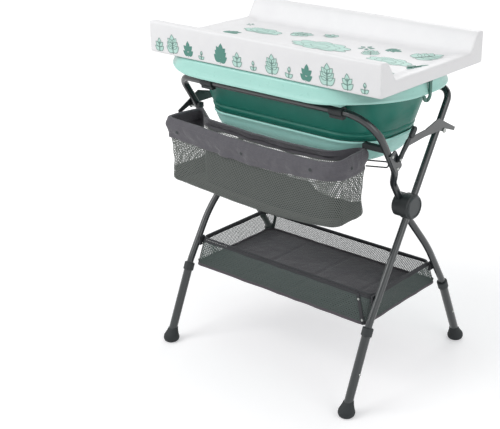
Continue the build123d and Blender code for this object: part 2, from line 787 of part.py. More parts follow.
# Padded top: high rounded walls along both sides and low lips across both ends
half_top = top_width / 2
floor_z = top_bottom + top_floor
crest_z = top_bottom + top_height
with BuildPart() as top_cover:
    with BuildSketch(Plane.YZ.offset(-top_length / 2)):
        with BuildLine() as top_line:
            FilletPolyline(
                (0, top_bottom),
                (half_top, top_bottom),
                (half_top, crest_z),
                (half_top - wall_crest, crest_z),
                (half_top - wall_foot, floor_z),
                (0, floor_z + top_floor_crown),
                radius=[top_edge_radius, crest_radius, crest_radius, crest_radius],
            )
            mirror(top_line.line, about=Plane.YZ)
        make_face()
    extrude(amount=top_length)
    for end in (-1, 1):
        with BuildSketch(Plane.XZ.offset(-half_top + wall_crest)):
            with BuildLine():
                Polyline(
                    (end * top_length / 2, top_bottom + top_edge_radius),
                    (end * top_length / 2, top_bottom + lip_height),
                    (end * (top_length / 2 - lip_crest), top_bottom + lip_height),
                    (end * (top_length / 2 - lip_foot), floor_z),
                    (end * (top_length / 2 - lip_foot), top_bottom + top_edge_radius),
                    close=True,
                )
            make_face()
        extrude(amount=2 * (half_top - wall_crest))
    with BuildSketch(Plane.XY.offset(top_bottom)):
        RectangleRounded(top_length, top_width, top_corner_radius)
    extrude(amount=top_height, mode=Mode.INTERSECT)
    with BuildSketch(Plane.XY.offset(top_bottom)):
        Rectangle(top_length - 2 * board_margin, top_width - 2 * board_margin)
    extrude(amount=board_thickness, mode=Mode.SUBTRACT)
keep(top_cover.part, "top_cover")

with BuildPart() as top_board:
    with BuildSketch(Plane.XY.offset(top_bottom)):
        Rectangle(top_length - 2 * board_margin, top_width - 2 * board_margin)
    extrude(amount=board_thickness)
keep(top_board.part, "top_board")

# Rubber pads under the board, over the rim
with BuildPart() as top_pads:
    with BuildSketch(Plane.XY.offset(rim_top + seat_gap)):
        for y_side in (-1, 1):
            with Locations((0, y_side * (half_top - board_margin - pad_width / 2))):
                Rectangle(pad_length, pad_width)
        for x_side in (-1, 1):
            with Locations((x_side * (top_length / 2 - board_margin - pad_width), -end_pad_shift)):
                Rectangle(pad_width, pad_length)
    extrude(amount=top_bottom - rim_top - seat_gap)
keep(top_pads.part, "top_pads")

# Upper basket: bag with an open top whose back edge bows forward round the pan
basket_top = bar_height - basket_drop
basket_bottom = basket_top - basket_depth
basket_front = leg_y(basket_top) - basket_front_reach
basket_back_middle = leg_y(basket_top) - basket_middle_reach
basket_back_end = leg_y(basket_top) + basket_end_setback


def basket_outline(inset, mode=Mode.ADD):
    left, right = basket_left + inset, basket_right - inset
    front = basket_front + inset
    back, middle = basket_back_end - inset, basket_back_middle - inset
    round_corner = basket_corner_radius - inset
    with BuildLine() as line:
        FilletPolyline(
            (right, front),
            (right, back),
            (right - basket_back_bend, middle),
            (left + basket_back_bend, middle),
            (left, back),
            (left, front),
            radius=[
                round_corner,
                basket_back_corner_radius,
                basket_back_bend_radius,
                basket_back_bend_radius,
                basket_back_corner_radius,
                round_corner,
            ],
            close=True,
        )
    make_face(line.edges(), mode=mode)


with BuildPart() as basket_bag:
    with BuildSketch(Plane.XY.offset(basket_bottom)):
        basket_outline(basket_bottom_inset)
    with BuildSketch(Plane.XY.offset(basket_top)):
        basket_outline(band_wall)
    loft(ruled=True)
    with BuildSketch(Plane.XY.offset(basket_bottom + basket_wall)):
        basket_outline(basket_bottom_inset + basket_wall)
    with BuildSketch(Plane.XY.offset(basket_top)):
        basket_outline(band_wall + basket_wall)
    loft(ruled=True, mode=Mode.SUBTRACT)
keep(basket_bag.part, "basket_bag")

with BuildPart() as basket_band:
    band_share = band_height / (basket_top - basket_bottom)
    band_inset = band_share * (basket_bottom_inset - band_wall)
    with BuildSketch(Plane.XY.offset(basket_top - band_height)):
        basket_outline(band_inset)
    with BuildSketch(Plane.XY.offset(basket_top)):
        basket_outline(0)
    loft(ruled=True)
    with BuildSketch(Plane.XY.offset(basket_top - band_height)):
        basket_outline(band_inset + band_wall)
    with BuildSketch(Plane.XY.offset(basket_top)):
        basket_outline(band_wall)
    loft(ruled=True, mode=Mode.SUBTRACT)
keep(basket_band.part, "basket_band")

# Wire hoop on the basket's top edge
hoop_top = basket_top + 2 * hoop_radius
with BuildPart() as basket_hoop:
    with BuildSketch(Plane.XY.offset(basket_top)):
        basket_outline(0)
        basket_outline(2 * hoop_radius, Mode.SUBTRACT)
    extrude(amount=2 * hoop_radius)
keep(basket_hoop.part, "basket_hoop")

# Brackets that carry the hoop on the two upper tubes of the front frame
carrier_middle = hoop_top + carrier_height / 2
with BuildPart() as basket_brackets:
    carrier_ends = [(basket_left + carrier_lap, -outer_tube_x), (basket_right - carrier_lap, outer_tube_x)]
    for inner, tube_x in carrier_ends:
        with BuildSketch(Plane.XY.offset(hoop_top)):
            with Locations(((inner + tube_x) / 2, leg_y(carrier_middle))):
                Rectangle(abs(tube_x - inner), carrier_width)
        extrude(amount=carrier_height)
        with BuildSketch(Plane(origin=(tube_x, 0, pivot_height), z_dir=up_front)):
            Circle(tube_radius)
        extrude(amount=bar_height - pivot_height, mode=Mode.SUBTRACT)
keep(basket_brackets.part, "basket_brackets")

# Wire loop from the basket's right end to the tube beside it
loop_height = basket_top - loop_drop
loop_start = Vector(basket_right - loop_radius / 2, basket_back_end - 2 * loop_radius, loop_height)
loop_end_x = outer_tube_x - tube_radius - loop_radius
loop_end = Vector(loop_end_x, leg_y(loop_height) - loop_radius, loop_height)
half_spacing = Vector(0, 0, loop_spacing / 2)
with BuildPart() as basket_loop:
    with BuildLine() as loop_path:
        FilletPolyline(
            loop_start + half_spacing,
            loop_end + half_spacing,
            loop_end - half_spacing,
            loop_start - half_spacing,
            radius=loop_bend_radius,
        )
    with BuildSketch(Plane(origin=loop_path.line @ 0, z_dir=loop_path.line % 0)):
        Circle(loop_radius)
    sweep()
keep(basket_loop.part, "basket_loop")

# Snap fasteners along the front of the band
snap_z = basket_top - band_height / 2
with BuildPart() as band_snaps:
    with BuildSketch(Plane.XZ.offset(-basket_front - snap_height)):
        for share in snap_place_shares:
            with Locations((basket_left + share * (basket_right - basket_left), snap_z)):
                Circle(snap_radius)
    extrude(amount=2 * snap_height - snap_sink)
    with BuildSketch(Plane.XY.offset(basket_top - band_height)):
        basket_outline(band_inset)
    with BuildSketch(Plane.XY.offset(basket_top)):
        basket_outline(0)
    loft(ruled=True, mode=Mode.SUBTRACT)
keep(band_snaps.part, "band_snaps")

# Lower shelf: a firm floor, mesh walls that lean with the legs and a corded top edge
shelf_top_half_width = leg_y(shelf_top) + shelf_top_past_leg
shelf_bottom_half_width = leg_bend_y - shelf_bottom_inside_leg
lean_shelf = shelf_bottom_half_width - shelf_top_half_width
with BuildPart() as shelf_walls:
    for inset, kind in ((0, Mode.ADD), (shelf_wall, Mode.SUBTRACT)):
        with BuildSketch(Plane.XY.offset(shelf_bottom)):
            RectangleRounded(
                2 * (shelf_half_length - inset),
                2 * (shelf_bottom_half_width - inset),
                shelf_corner_radius - inset,
            )
        with BuildSketch(Plane.XY.offset(shelf_top)):
            RectangleRounded(
                2 * (shelf_half_length - inset),
                2 * (shelf_top_half_width - inset),
                shelf_corner_radius - inset,
            )
        loft(ruled=True, mode=kind)
keep(shelf_walls.part, "shelf_walls")

with BuildPart() as shelf_floor:
    floor_share = shelf_floor_thickness / (shelf_top - shelf_bottom)
    with BuildSketch(Plane.XY.offset(shelf_bottom)):
        RectangleRounded(
            2 * (shelf_half_length - shelf_wall),
            2 * (shelf_bottom_half_width - shelf_wall),
            shelf_corner_radius - shelf_wall,
        )
    with BuildSketch(Plane.XY.offset(shelf_bottom + shelf_floor_thickness)):
        RectangleRounded(
            2 * (shelf_half_length - shelf_wall),
            2 * (shelf_bottom_half_width - shelf_wall - floor_share * lean_shelf),
            shelf_corner_radius - shelf_wall,
        )
    loft(ruled=True)
keep(shelf_floor.part, "shelf_floor")

with BuildPart() as shelf_binding:
    with BuildSketch(Plane.XY.offset(shelf_top)):
        for inset, kind in ((0, Mode.ADD), (2 * binding_radius, Mode.SUBTRACT)):
            RectangleRounded(
                2 * (shelf_half_length - inset),
                2 * (shelf_top_half_width - inset),
                shelf_corner_radius - inset,
                mode=kind,
            )
    extrude(amount=2 * binding_radius)
    flats = shelf_binding.faces().filter_by(Axis.Z)
    chamfer(flats.edges(), binding_radius * binding_chamfer_share)
keep(shelf_binding.part, "shelf_binding")

# Ties from the corded edge to the inner side of each leg
with BuildPart() as shelf_ties:
    for x_side in (-1, 1):
        for y_side in (-1, 1):
            tie_low = shelf_top - tie_height
            tie_x = (shelf_half_length + outer_tube_x - tube_radius - seat_gap) / 2
            with BuildSketch(Plane.XY.offset(tie_low)):
                with Locations((x_side * tie_x, -y_side * leg_y(shelf_top))):
                    Rectangle(outer_tube_x - tube_radius - seat_gap - shelf_half_length, tie_width)
            extrude(amount=tie_height + 2 * binding_radius)
keep(shelf_ties.part, "shelf_ties")
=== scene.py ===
from math import cos, exp, pi, radians, sin, sqrt, tan

import bmesh
import bpy
from mathutils import Matrix, Vector, noise


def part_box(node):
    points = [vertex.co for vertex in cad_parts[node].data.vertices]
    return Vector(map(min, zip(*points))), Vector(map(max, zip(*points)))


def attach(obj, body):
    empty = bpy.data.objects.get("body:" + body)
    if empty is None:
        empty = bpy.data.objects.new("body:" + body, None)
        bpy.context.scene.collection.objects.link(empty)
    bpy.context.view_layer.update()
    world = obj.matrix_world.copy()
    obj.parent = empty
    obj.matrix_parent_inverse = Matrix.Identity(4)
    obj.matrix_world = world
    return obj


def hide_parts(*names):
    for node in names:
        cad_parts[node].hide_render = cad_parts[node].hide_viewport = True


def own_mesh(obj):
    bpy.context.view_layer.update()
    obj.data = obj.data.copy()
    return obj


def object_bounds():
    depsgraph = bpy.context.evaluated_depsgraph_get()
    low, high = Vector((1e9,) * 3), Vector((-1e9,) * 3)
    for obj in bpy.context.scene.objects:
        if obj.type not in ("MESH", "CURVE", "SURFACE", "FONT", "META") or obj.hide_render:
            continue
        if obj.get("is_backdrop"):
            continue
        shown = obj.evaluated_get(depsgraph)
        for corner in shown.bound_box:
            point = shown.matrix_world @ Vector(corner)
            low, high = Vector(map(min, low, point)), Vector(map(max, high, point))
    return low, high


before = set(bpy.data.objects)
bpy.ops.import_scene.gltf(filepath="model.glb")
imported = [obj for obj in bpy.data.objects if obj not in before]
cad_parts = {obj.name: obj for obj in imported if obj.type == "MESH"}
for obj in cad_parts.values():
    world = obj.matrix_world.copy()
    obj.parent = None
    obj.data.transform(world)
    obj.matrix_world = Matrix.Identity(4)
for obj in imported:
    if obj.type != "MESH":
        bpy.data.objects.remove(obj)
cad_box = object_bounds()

# Folding changing table: a padded top over a collapsible bath, on a crossed tube frame.
# Everything is in metres, in the CAD model's own frame: X along the table, front -Y.


# The studio: a pale floor and a white surround, lit evenly, with a broad soft lamp above
# the front left and a weaker one on the right. The floor glows a little where it is seen,
# so that it reads as white and still keeps the table's shadow.
class Socket:
    """An output in a node tree. Sums, products and comparisons on it add their nodes."""

    def __init__(self, tree, output):
        self.tree, self.output = tree, output

    def math(self, operation, *others):
        return self.tree.node("ShaderNodeMath", {"operation": operation}, dict(enumerate((self, *others))))

    def __add__(self, other):
        return self.math("ADD", other)

    def __mul__(self, other):
        return self.math("MULTIPLY", other)

    def __sub__(self, other):
        return self.math("SUBTRACT", other)

    __radd__, __rmul__ = __add__, __mul__

    def part(self, name):
        """Another output of the same node."""
        return Socket(self.tree, self.output.node.outputs[name])


class Tree:
    """A node tree. node() adds any node: its type, its settings, then its sockets."""

    def __init__(self, nodes):
        self.nodes = nodes

    def node(self, kind, settings=None, values=None):
        made = self.nodes.nodes.new(kind)
        for name, setting in (settings or {}).items():
            if name == "stops":
                stops = made.color_ramp.elements
                while len(stops) < len(setting):
                    stops.new(1)
                for stop, (place, colour) in zip(stops, setting):
                    stop.position, stop.color = place, colour
            else:
                setattr(made, name, setting)
        shown = [socket for socket in made.inputs if socket.enabled]
        for key, value in (values or {}).items():
            socket = shown[key] if isinstance(key, int) else next(s for s in shown if s.name == key)
            if isinstance(value, Socket):
                self.nodes.links.new(value.output, socket)
            else:
                socket.default_value = value
        outputs = [output for output in made.outputs if output.enabled]
        return Socket(self, outputs[0]) if outputs else None

    def mix(self, share, first, second):
        """One colour turning into another as share goes from 0 to 1."""
        values = {"Factor": share, "A": first, "B": second}
        return self.node("ShaderNodeMix", {"data_type": "RGBA"}, values)


def srgb(red, green, blue):
    """A colour as a paint chart gives it, 0 to 255, turned into light."""
    chart = [value / 255 for value in (red, green, blue)]
    return (*(c / 12.92 if c <= 0.04045 else ((c + 0.055) / 1.055) ** 2.4 for c in chart), 1)


class Finish(Tree):
    """A material with one shader, whose patterns lie on the piece's own coordinates."""

    def __init__(self, name):
        self.material = bpy.data.materials.new(name)
        self.material.use_nodes = True
        super().__init__(self.material.node_tree)
        self.shader = self.nodes.nodes["Principled BSDF"]
        self.place = self.node("ShaderNodeTexCoord").part("Object")

    def cloudy(self, size, detail=2, place=None):
        """Soft random patches, about this size across."""
        values = {"Vector": place or self.place, "Scale": 1 / size, "Detail": detail}
        return self.node("ShaderNodeTexNoise", None, values)

    def relief(self, height, depth, under=None):
        """A bump of this depth, over another one where there is one."""
        values = {"Height": height, "Distance": depth, "Strength": 1.0}
        if under:
            values["Normal"] = under
        return self.node("ShaderNodeBump", None, values)

    def surface(self, values):
        for name, value in values.items():
            if isinstance(value, Socket):
                self.nodes.links.new(value.output, self.shader.inputs[name])
            else:
                self.shader.inputs[name].default_value = value
        return self.material


def piece(name, mesh):
    made = bpy.data.objects.new(name, mesh)
    bpy.context.scene.collection.objects.link(made)
    return made


def seen_share(tree):
    """1 for what the camera, a reflection or a pane sees, 0 for light that bounces on."""
    ray = tree.node("ShaderNodeLightPath")
    glossy = ray.part("Is Camera Ray").math("MAXIMUM", ray.part("Is Glossy Ray"))
    return glossy.math("MAXIMUM", ray.part("Is Transmission Ray"))


studio_light = 0.56
studio = bpy.data.worlds.new("studio")
studio.use_nodes = True
studio.node_tree.nodes.clear()
bpy.context.scene.world = studio
surround = Tree(studio.node_tree)
brightness = studio_light + (1 - studio_light) * seen_share(surround)
backdrop = surround.node("ShaderNodeBackground", None, {"Color": (1, 1, 1, 1), "Strength": brightness})
surround.node("ShaderNodeOutputWorld", None, {"Surface": backdrop})

floor_half = 15.0
floor_mesh = bpy.data.meshes.new("studio_floor")
floor_corners = [(-floor_half, -floor_half, 0), (floor_half, -floor_half, 0)]
floor_corners += [(floor_half, floor_half, 0), (-floor_half, floor_half, 0)]
floor_mesh.from_pydata(floor_corners, [], [(0, 1, 2, 3)])
studio_floor = piece("studio_floor", floor_mesh)
floor_paint = Finish("floor_paint")
floor_reach = floor_paint.node("ShaderNodeVectorMath", {"operation": "LENGTH"}, {0: floor_paint.place})
near_reach, fade = 0.7, 0.6
far_share = ((floor_reach.part("Value") - near_reach) * fade).math("MAXIMUM", 0.0).math("MINIMUM", 1.0)
near_glow, far_glow, no_glow = (0.36, 0.36, 0.37, 1), (0.66, 0.66, 0.66, 1), (0, 0, 0, 1)
floor_glow = floor_paint.mix(seen_share(floor_paint), no_glow, floor_paint.mix(far_share, near_glow, far_glow))
floor_mesh.materials.append(floor_paint.surface({
    "Base Color": (0.78, 0.78, 0.78, 1), "Roughness": 0.9, "Specular IOR Level": 0.1,
    "Emission Color": floor_glow, "Emission Strength": 1.0,
}))
studio_floor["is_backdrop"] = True

# The camera stands at the front right, a little above the top, as the photograph's did
camera_target = Vector((0.07816, -0.06672, 0.45588))
camera_azimuth = radians(38.51)
camera_height = radians(22.26)
camera_distance = 2.98373
camera_back = Vector((sin(camera_azimuth) * cos(camera_height), -cos(camera_azimuth) * cos(camera_height),
                      sin(camera_height)))
lens = bpy.data.cameras.new("camera")
lens.sensor_width = 36.0
lens.lens = 75.67
lens.shift_x = -0.14
camera = bpy.data.objects.new("camera", lens)
camera.location = camera_target + camera_distance * camera_back
camera.rotation_euler = (-camera_back).to_track_quat("-Z", "Y").to_euler()
bpy.context.scene.collection.objects.link(camera)
bpy.context.scene.camera = camera
bpy.context.scene.view_settings.view_transform = "Standard"


def lamp(name, place, size, power):
    """A soft square lamp that shines on the middle of the table."""
    light = bpy.data.lights.new(name, "AREA")
    light.size, light.energy = size, power
    made = bpy.data.objects.new(name, light)
    made.location = place
    made.rotation_euler = (camera_target - Vector(place)).to_track_quat("-Z", "Y").to_euler()
    bpy.context.scene.collection.objects.link(made)


lamp("front_lamp", (-1.6, -2.6, 3.0), 2.2, 62)
lamp("right_lamp", (3.2, -0.6, 1.8), 2.0, 22)
lamp("back_lamp", (-0.6, 2.8, 2.6), 2.4, 26)

# Crossed frame: two bent steel tubes of 20 mm, powder coated in dark grey. Each has a top
# bar, a straight leg at one end and a leg that steps inwards past the other frame's.
class Pattern(Tree):
    """A geometry pattern with named inputs. It ends in real faces of one material."""

    def __init__(self, name, sizes):
        super().__init__(bpy.data.node_groups.new(name, "GeometryNodeTree"))
        self.nodes.interface.new_socket("Geometry", in_out="OUTPUT", socket_type="NodeSocketGeometry")
        for given, kind in {"Geometry": "Geometry", **sizes, "Material": "Material"}.items():
            self.nodes.interface.new_socket(given, in_out="INPUT", socket_type="NodeSocket" + kind)
        self.given = self.node("NodeGroupInput")

    def ends(self, geometry):
        real = self.node("GeometryNodeRealizeInstances", None, {"Geometry": geometry})
        dressed = {"Geometry": real, "Material": self.given.part("Material")}
        self.node("NodeGroupOutput", None, {0: self.node("GeometryNodeSetMaterial", None, dressed)})

    def on(self, name, mesh, values):
        """The piece that the pattern makes from this mesh."""
        source = piece(name + "_source", mesh)
        worked = source.modifiers.new(name, "NODES")
        worked.node_group = self.nodes
        for item in self.nodes.interface.items_tree:
            if item.in_out == "INPUT" and item.name in values:
                worked[item.identifier] = values[item.name]
        evaluated = source.evaluated_get(bpy.context.evaluated_depsgraph_get())
        made = bpy.data.meshes.new_from_object(evaluated)
        source.modifiers.remove(worked)
        bpy.data.objects.remove(source)
        made.name = name
        return piece(name, made)


def route(name, points, bends, closed=False):
    """A line through these points, with the bend radius of each kept beside it."""
    line = bpy.data.meshes.new(name)
    edges = [(i, i + 1) for i in range(len(points) - 1)]
    if closed:
        edges.append((len(points) - 1, 0))
    line.from_pydata(points, edges, [])
    line.attributes.new("bend", "FLOAT", "POINT").data.foreach_set("value", bends)
    return line


bent_rod = Pattern("bent_rod", {"Radius": "Float", "Sides": "Int", "Bend Steps": "Int"})
rod_line = bent_rod.node("GeometryNodeMeshToCurve", None, {"Mesh": bent_rod.given.part("Geometry")})
rod_bend = bent_rod.node("GeometryNodeInputNamedAttribute", {"data_type": "FLOAT"}, {"Name": "bend"})
rod_line = bent_rod.node("GeometryNodeFilletCurve", {"mode": "POLY"}, {
    "Curve": rod_line, "Count": bent_rod.given.part("Bend Steps"), "Radius": rod_bend, "Limit Radius": True,
})
rod_section = bent_rod.node("GeometryNodeCurvePrimitiveCircle", {"mode": "RADIUS"}, {
    "Resolution": bent_rod.given.part("Sides"), "Radius": bent_rod.given.part("Radius"),
})
rod_skin = bent_rod.node("GeometryNodeCurveToMesh", None, {
    "Curve": rod_line, "Profile Curve": rod_section, "Fill Caps": True,
})
bent_rod.ends(bent_rod.node("GeometryNodeSetShadeSmooth", None, {"Geometry": rod_skin}))


def dress(material, *nodes):
    """Gives CAD parts a finish, on the parts as they are."""
    for name in nodes:
        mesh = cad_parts[name].data
        mesh.materials.clear()
        mesh.materials.append(material)


def both_sides(*names):
    return [f"{side}_{name}" for side in ("right", "left") for name in names]


def coat(name, dark, light, patch, rough, grain=None, more=None):
    """A finish in patches of two shades. patch gives their size and detail; rough the roughness,
    how much it varies, and the size and detail of where; grain its size, detail and depth."""
    made = Finish(name)
    values = {
        "Base Color": made.mix(made.cloudy(*patch), srgb(*dark), srgb(*light)),
        "Roughness": rough[0] + rough[1] * made.cloudy(*rough[2:]), **(more or {}),
    }
    if grain:
        values["Normal"] = made.relief(made.cloudy(*grain[:2]), grain[2])
    return made.surface(values)


def fit(made, body, slot, *stands_for):
    """Fixes a piece to its body, in place of the CAD parts that it stands for."""
    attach(made, body)
    if stands_for:
        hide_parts(*stands_for)


lacquer = {"Specular IOR Level": 0.55, "Coat Weight": 0.6, "Coat Roughness": 0.14}
powder_coat = coat("powder_coat", (23, 29, 31), (34, 41, 44), (0.035, 3), (0.24, 0.16, 0.035, 3),
                   (0.0011, 1, 0.00006), lacquer)

pivot_z = 0.525
lean = tan(radians(32.2))
tube_radius = 0.010
outer_x, inner_x = 0.338, 0.312
bar_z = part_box("front_frame_tube")[1].z - tube_radius
jog_heights = (0.648, 0.600, 0.470, 0.372)
leg_bend_z = 0.240
foot_reach, foot_middle = 0.278, 0.020
inner_leg_length = 0.222
tube_bends = [0, 0.160, 0.036, 0.088, 0.080, 0.070, 0.100, 0.350, 0.160, 0]


def leg_y(height):
    """Where the front frame's leaning tube stands at a height, front negative."""
    return (pivot_z - height) * lean


leg_bend_y = leg_y(leg_bend_z)
leg_down = Vector((0, foot_reach - leg_bend_y, foot_middle - leg_bend_z)).normalized()


def tube_points(turn):
    """The corners of one frame's tube; the rear frame is the front one turned half round."""
    left_bend, right_bend = (Vector((x, leg_bend_y, leg_bend_z)) for x in (-outer_x, outer_x))
    jog_x = (outer_x, inner_x, inner_x, outer_x)
    points = [left_bend + inner_leg_length * leg_down, left_bend]
    points += [Vector((x, leg_y(bar_z), bar_z)) for x in (-outer_x, outer_x)]
    points += [Vector((x, leg_y(z), z)) for x, z in zip(jog_x, jog_heights)]
    points += [right_bend, right_bend + inner_leg_length * leg_down]
    return [Vector((turn * p.x, turn * p.y, p.z)) for p in points]


def cut_by(target, tool):
    """Takes one solid out of another and keeps the plain mesh."""
    cut = target.modifiers.new("cut", "BOOLEAN")
    cut.operation, cut.solver, cut.object = "DIFFERENCE", "EXACT", tool
    evaluated = target.evaluated_get(bpy.context.evaluated_depsgraph_get())
    target.data = bpy.data.meshes.new_from_object(evaluated)
    target.modifiers.remove(cut)
    bpy.data.objects.remove(tool)
    return target


button_hole_radius, button_hole_pitch, button_drop, holes_a_leg = 0.0039, 0.030, 0.140, 3


def button_holes(turn):
    """The row of height holes in each lower leg, as pins to be taken out of the tube."""
    pins = bmesh.new()
    for way in (-1, 1):
        for step in range(holes_a_leg):
            spot = Vector((way * outer_x, leg_bend_y, leg_bend_z))
            spot += leg_down * (button_drop + step * button_hole_pitch) + Vector((way * tube_radius, 0, 0))
            spot = Vector((turn * spot.x, turn * spot.y, spot.z))
            along_x = Matrix.Translation(spot) @ Matrix.Rotation(pi / 2, 4, "Y")
            bmesh.ops.create_cone(pins, cap_ends=True, segments=24, radius1=button_hole_radius,
                                  radius2=button_hole_radius, depth=1.6 * tube_radius, matrix=along_x)
    mesh = bpy.data.meshes.new("button_holes")
    pins.to_mesh(mesh)
    pins.free()
    return piece("button_holes", mesh)


tube_sizes = {"Radius": tube_radius, "Sides": 28, "Bend Steps": 12, "Material": powder_coat}
for frame_side, turn in (("front", 1), ("rear", -1)):
    line = route(frame_side + "_line", tube_points(turn), tube_bends)
    tube = cut_by(bent_rod.on(frame_side + "_tube", line, tube_sizes), button_holes(turn))
    fit(tube, frame_side + "_frame", "frame_metal", frame_side + "_frame_tube")

# Hubs at the crossing: two moulded shells a side, clamped by a bolt, with a plain cap.
# Black-grey nylon with a fine spark-eroded grain; the bolts are zinc plated.
moulded_nylon = coat("moulded_nylon", (29, 34, 36), (40, 45, 47), (0.02, 2), (0.5, 0.1, 0.0009, 3),
                     (0.0009, 3, 0.00008))
cap_nylon = coat("cap_plastic", (42, 48, 50), (53, 59, 61), (0.015, 2), (0.36, 0.1, 0.0012, 2),
                 (0.0012, 2, 0.00005))
zinc_plate = coat("zinc_plate", (150, 153, 152), (186, 188, 184), (0.004, 3), (0.25, 0.15, 0.004, 3),
                  more={"Metallic": 1.0})
dress(moulded_nylon, *both_sides("inner_hub", "outer_hub"))
dress(cap_nylon, *both_sides("hub_cap"))
dress(zinc_plate, *both_sides("hub_axle"))

# Lower legs: steel sleeves that slide over the tubes, with a moulded collar at the top,
# a spring button in a row of holes, and a ribbed rubber foot pressed over the end.
foot_rubber = coat("foot_rubber", (26, 30, 32), (44, 49, 51), (0.006, 4), (0.62, 0.2, 0.006, 4),
                   (0.0015, 2, 0.00008))


def turn_outwards(mesh):
    work = bmesh.new()
    work.from_mesh(mesh)
    bmesh.ops.recalc_face_normals(work, faces=work.faces)
    work.to_mesh(mesh)
    work.free()


def skin(name, points, faces, material, places=(), turned=True):
    """A smooth piece from points and faces. places, in metres, lay cloth on it, corner by corner."""
    mesh = bpy.data.meshes.new(name)
    mesh.from_pydata(points, [], faces)
    if places:
        own_map = mesh.uv_layers.new(name="cloth_map")
        own_map.data.foreach_set("uv", [value for place in places for value in place])
    mesh.materials.append(material)
    if turned:
        turn_outwards(mesh)
    mesh.shade_smooth()
    return piece(name, mesh)


def loft(name, rings, material, closed=False, capped=False):
    """A smooth skin over rings of equally many points."""
    count, last = len(rings[0]), len(rings) if closed else len(rings) - 1
    faces, places = [], []
    along, up = [0.0], [0.0]
    for i in range(count):
        along.append(along[-1] + (rings[0][(i + 1) % count] - rings[0][i]).length)
    for r in range(last):
        up.append(up[-1] + (rings[(r + 1) % len(rings)][0] - rings[r][0]).length)
        below, above = r * count, (r + 1) % len(rings) * count
        for i in range(count):
            j = (i + 1) % count
            faces.append((below + i, below + j, above + j, above + i))
            places += [(along[i], up[r]), (along[i + 1], up[r])]
            places += [(along[i + 1], up[r + 1]), (along[i], up[r + 1])]
    if capped:
        faces += [tuple(range(count))[::-1], tuple(range(last * count, len(rings) * count))]
        places += [(0.0, 0.0)] * 2 * count
    return skin(name, [point for ring in rings for point in ring], faces, material, places)


# Height and radius up a foot, from its flat sole over its wide brim to its neck
foot_profile = [
    (0, 0.0165), (0.0012, 0.0195), (0.004, 0.0222), (0.009, 0.0240), (0.0145, 0.0239), (0.020, 0.0224),
    (0.026, 0.0197), (0.032, 0.0172), (0.037, 0.0156), (0.0405, 0.0148), (0.0415, 0.0141), (0.0415, 0.0120),
]
foot_turns = [2 * pi * k / 40 for k in range(40)]


def rubber_foot(corner, way_x, way_y):
    """A foot whose neck leans with the leg that stands in it."""
    rings = []
    for height, radius in foot_profile:
        lean_back = max(height - foot_middle, 0) * leg_down.y / -leg_down.z
        middle = Vector((way_x * outer_x, way_y * (foot_reach - lean_back), height))
        rings.append([middle + radius * Vector((cos(a), sin(a), 0)) for a in foot_turns])
    return loft(corner + "_rubber_foot", rings, foot_rubber, capped=True)


for corner in [f"{depth}_{side}" for depth in ("front", "back") for side in ("left", "right")]:
    dress(powder_coat, corner + "_leg_sleeve")
    dress(moulded_nylon, corner + "_leg_collar")
    foot = rubber_foot(corner, -1 if "left" in corner else 1, -1 if "front" in corner else 1)
    fit(foot, corner + "_leg", "foot_rubber", corner + "_foot")
    dress(zinc_plate, corner + "_snap_button")

# Braces that keep the frame open: a bracket riveted to one tube, a notched arm over a
# headed stud on the other, and a lever with a rubbery grip. Pressed steel, coated dark.
dress(powder_coat, *both_sides("brace_bracket", "brace_arm"))
dress(zinc_plate, *both_sides("bracket_rivets", "brace_pin", "brace_stud"))
dress(moulded_nylon, *both_sides("brace_lever"))

# Holders on both top bars: moulded clips that hold the bath's rim off the tube
dress(moulded_nylon, "front_bar_holders", "rear_bar_holders")

# Bath rim: glossy mint polypropylene, moulded in one with a rolled outer lip, a broad flat
# flange and an inner collar. Four seats underneath rest on the holders of the top bars.
def rounded_outline(corners, radii, arc_steps, run_steps):
    """Points round a closed outline with these corner radii, equally many each time."""
    arcs = []
    for i, (corner, radius) in enumerate(zip(corners, radii)):
        corner = Vector(corner)
        before = (Vector(corners[i - 1]) - corner).normalized()
        after = (Vector(corners[(i + 1) % len(corners)]) - corner).normalized()
        half_angle = before.angle(after) / 2
        centre = corner + (before + after).normalized() * (radius / sin(half_angle))
        reach = radius / tan(half_angle)
        first, last = corner + before * reach - centre, corner + after * reach - centre
        turns = [first.slerp(last, k / arc_steps).normalized() for k in range(arc_steps + 1)]
        arcs.append([centre + radius * turn for turn in turns])
    points = []
    for arc, following in zip(arcs, arcs[1:] + arcs[:1]):
        points += arc
        points += [arc[-1].lerp(following[0], k / run_steps) for k in range(1, run_steps)]
    return points


def egg(left, right, half_width, left_corner, right_corner, inset=0.0):
    """The bath's outline from above, drawn in by an inset."""
    left, right, half_width = left - inset, right - inset, half_width - inset
    corners = [(-left, -half_width), (right, -half_width), (right, half_width), (-left, half_width)]
    radii = [left_corner - inset, right_corner - inset, right_corner - inset, left_corner - inset]
    return rounded_outline(corners, radii, 22, 10)


def at_height(outline, height):
    return [Vector((point.x, point.y, height)) for point in outline]


def block(name, low, high, edge):
    """A box with rounded edges."""
    work = bmesh.new()
    bmesh.ops.create_cube(work, size=1.0)
    for vertex in work.verts:
        vertex.co = Vector([a + (b - a) * (c + 0.5) for a, b, c in zip(low, high, vertex.co)])
    bmesh.ops.bevel(work, geom=work.edges[:], offset=edge, segments=3, profile=0.5, affect="EDGES")
    mesh = bpy.data.meshes.new(name)
    work.to_mesh(mesh)
    work.free()
    mesh.shade_smooth()
    return piece(name, mesh)


def joined(main, *others):
    with bpy.context.temp_override(active_object=main, selected_editable_objects=[main, *others]):
        bpy.ops.object.join()
    return main


def let_in(weight, reach):
    """Light that goes a little way into a plastic: how much, and how far for each colour."""
    return {"Subsurface Weight": weight, "Subsurface Radius": reach, "Subsurface Scale": 1.0}


def held(value, low=0, high=1):
    return min(max(value, low), high)


def eased(share):
    """The same share from 0 to 1, slow at both ends."""
    return share * share * (3 - 2 * share)


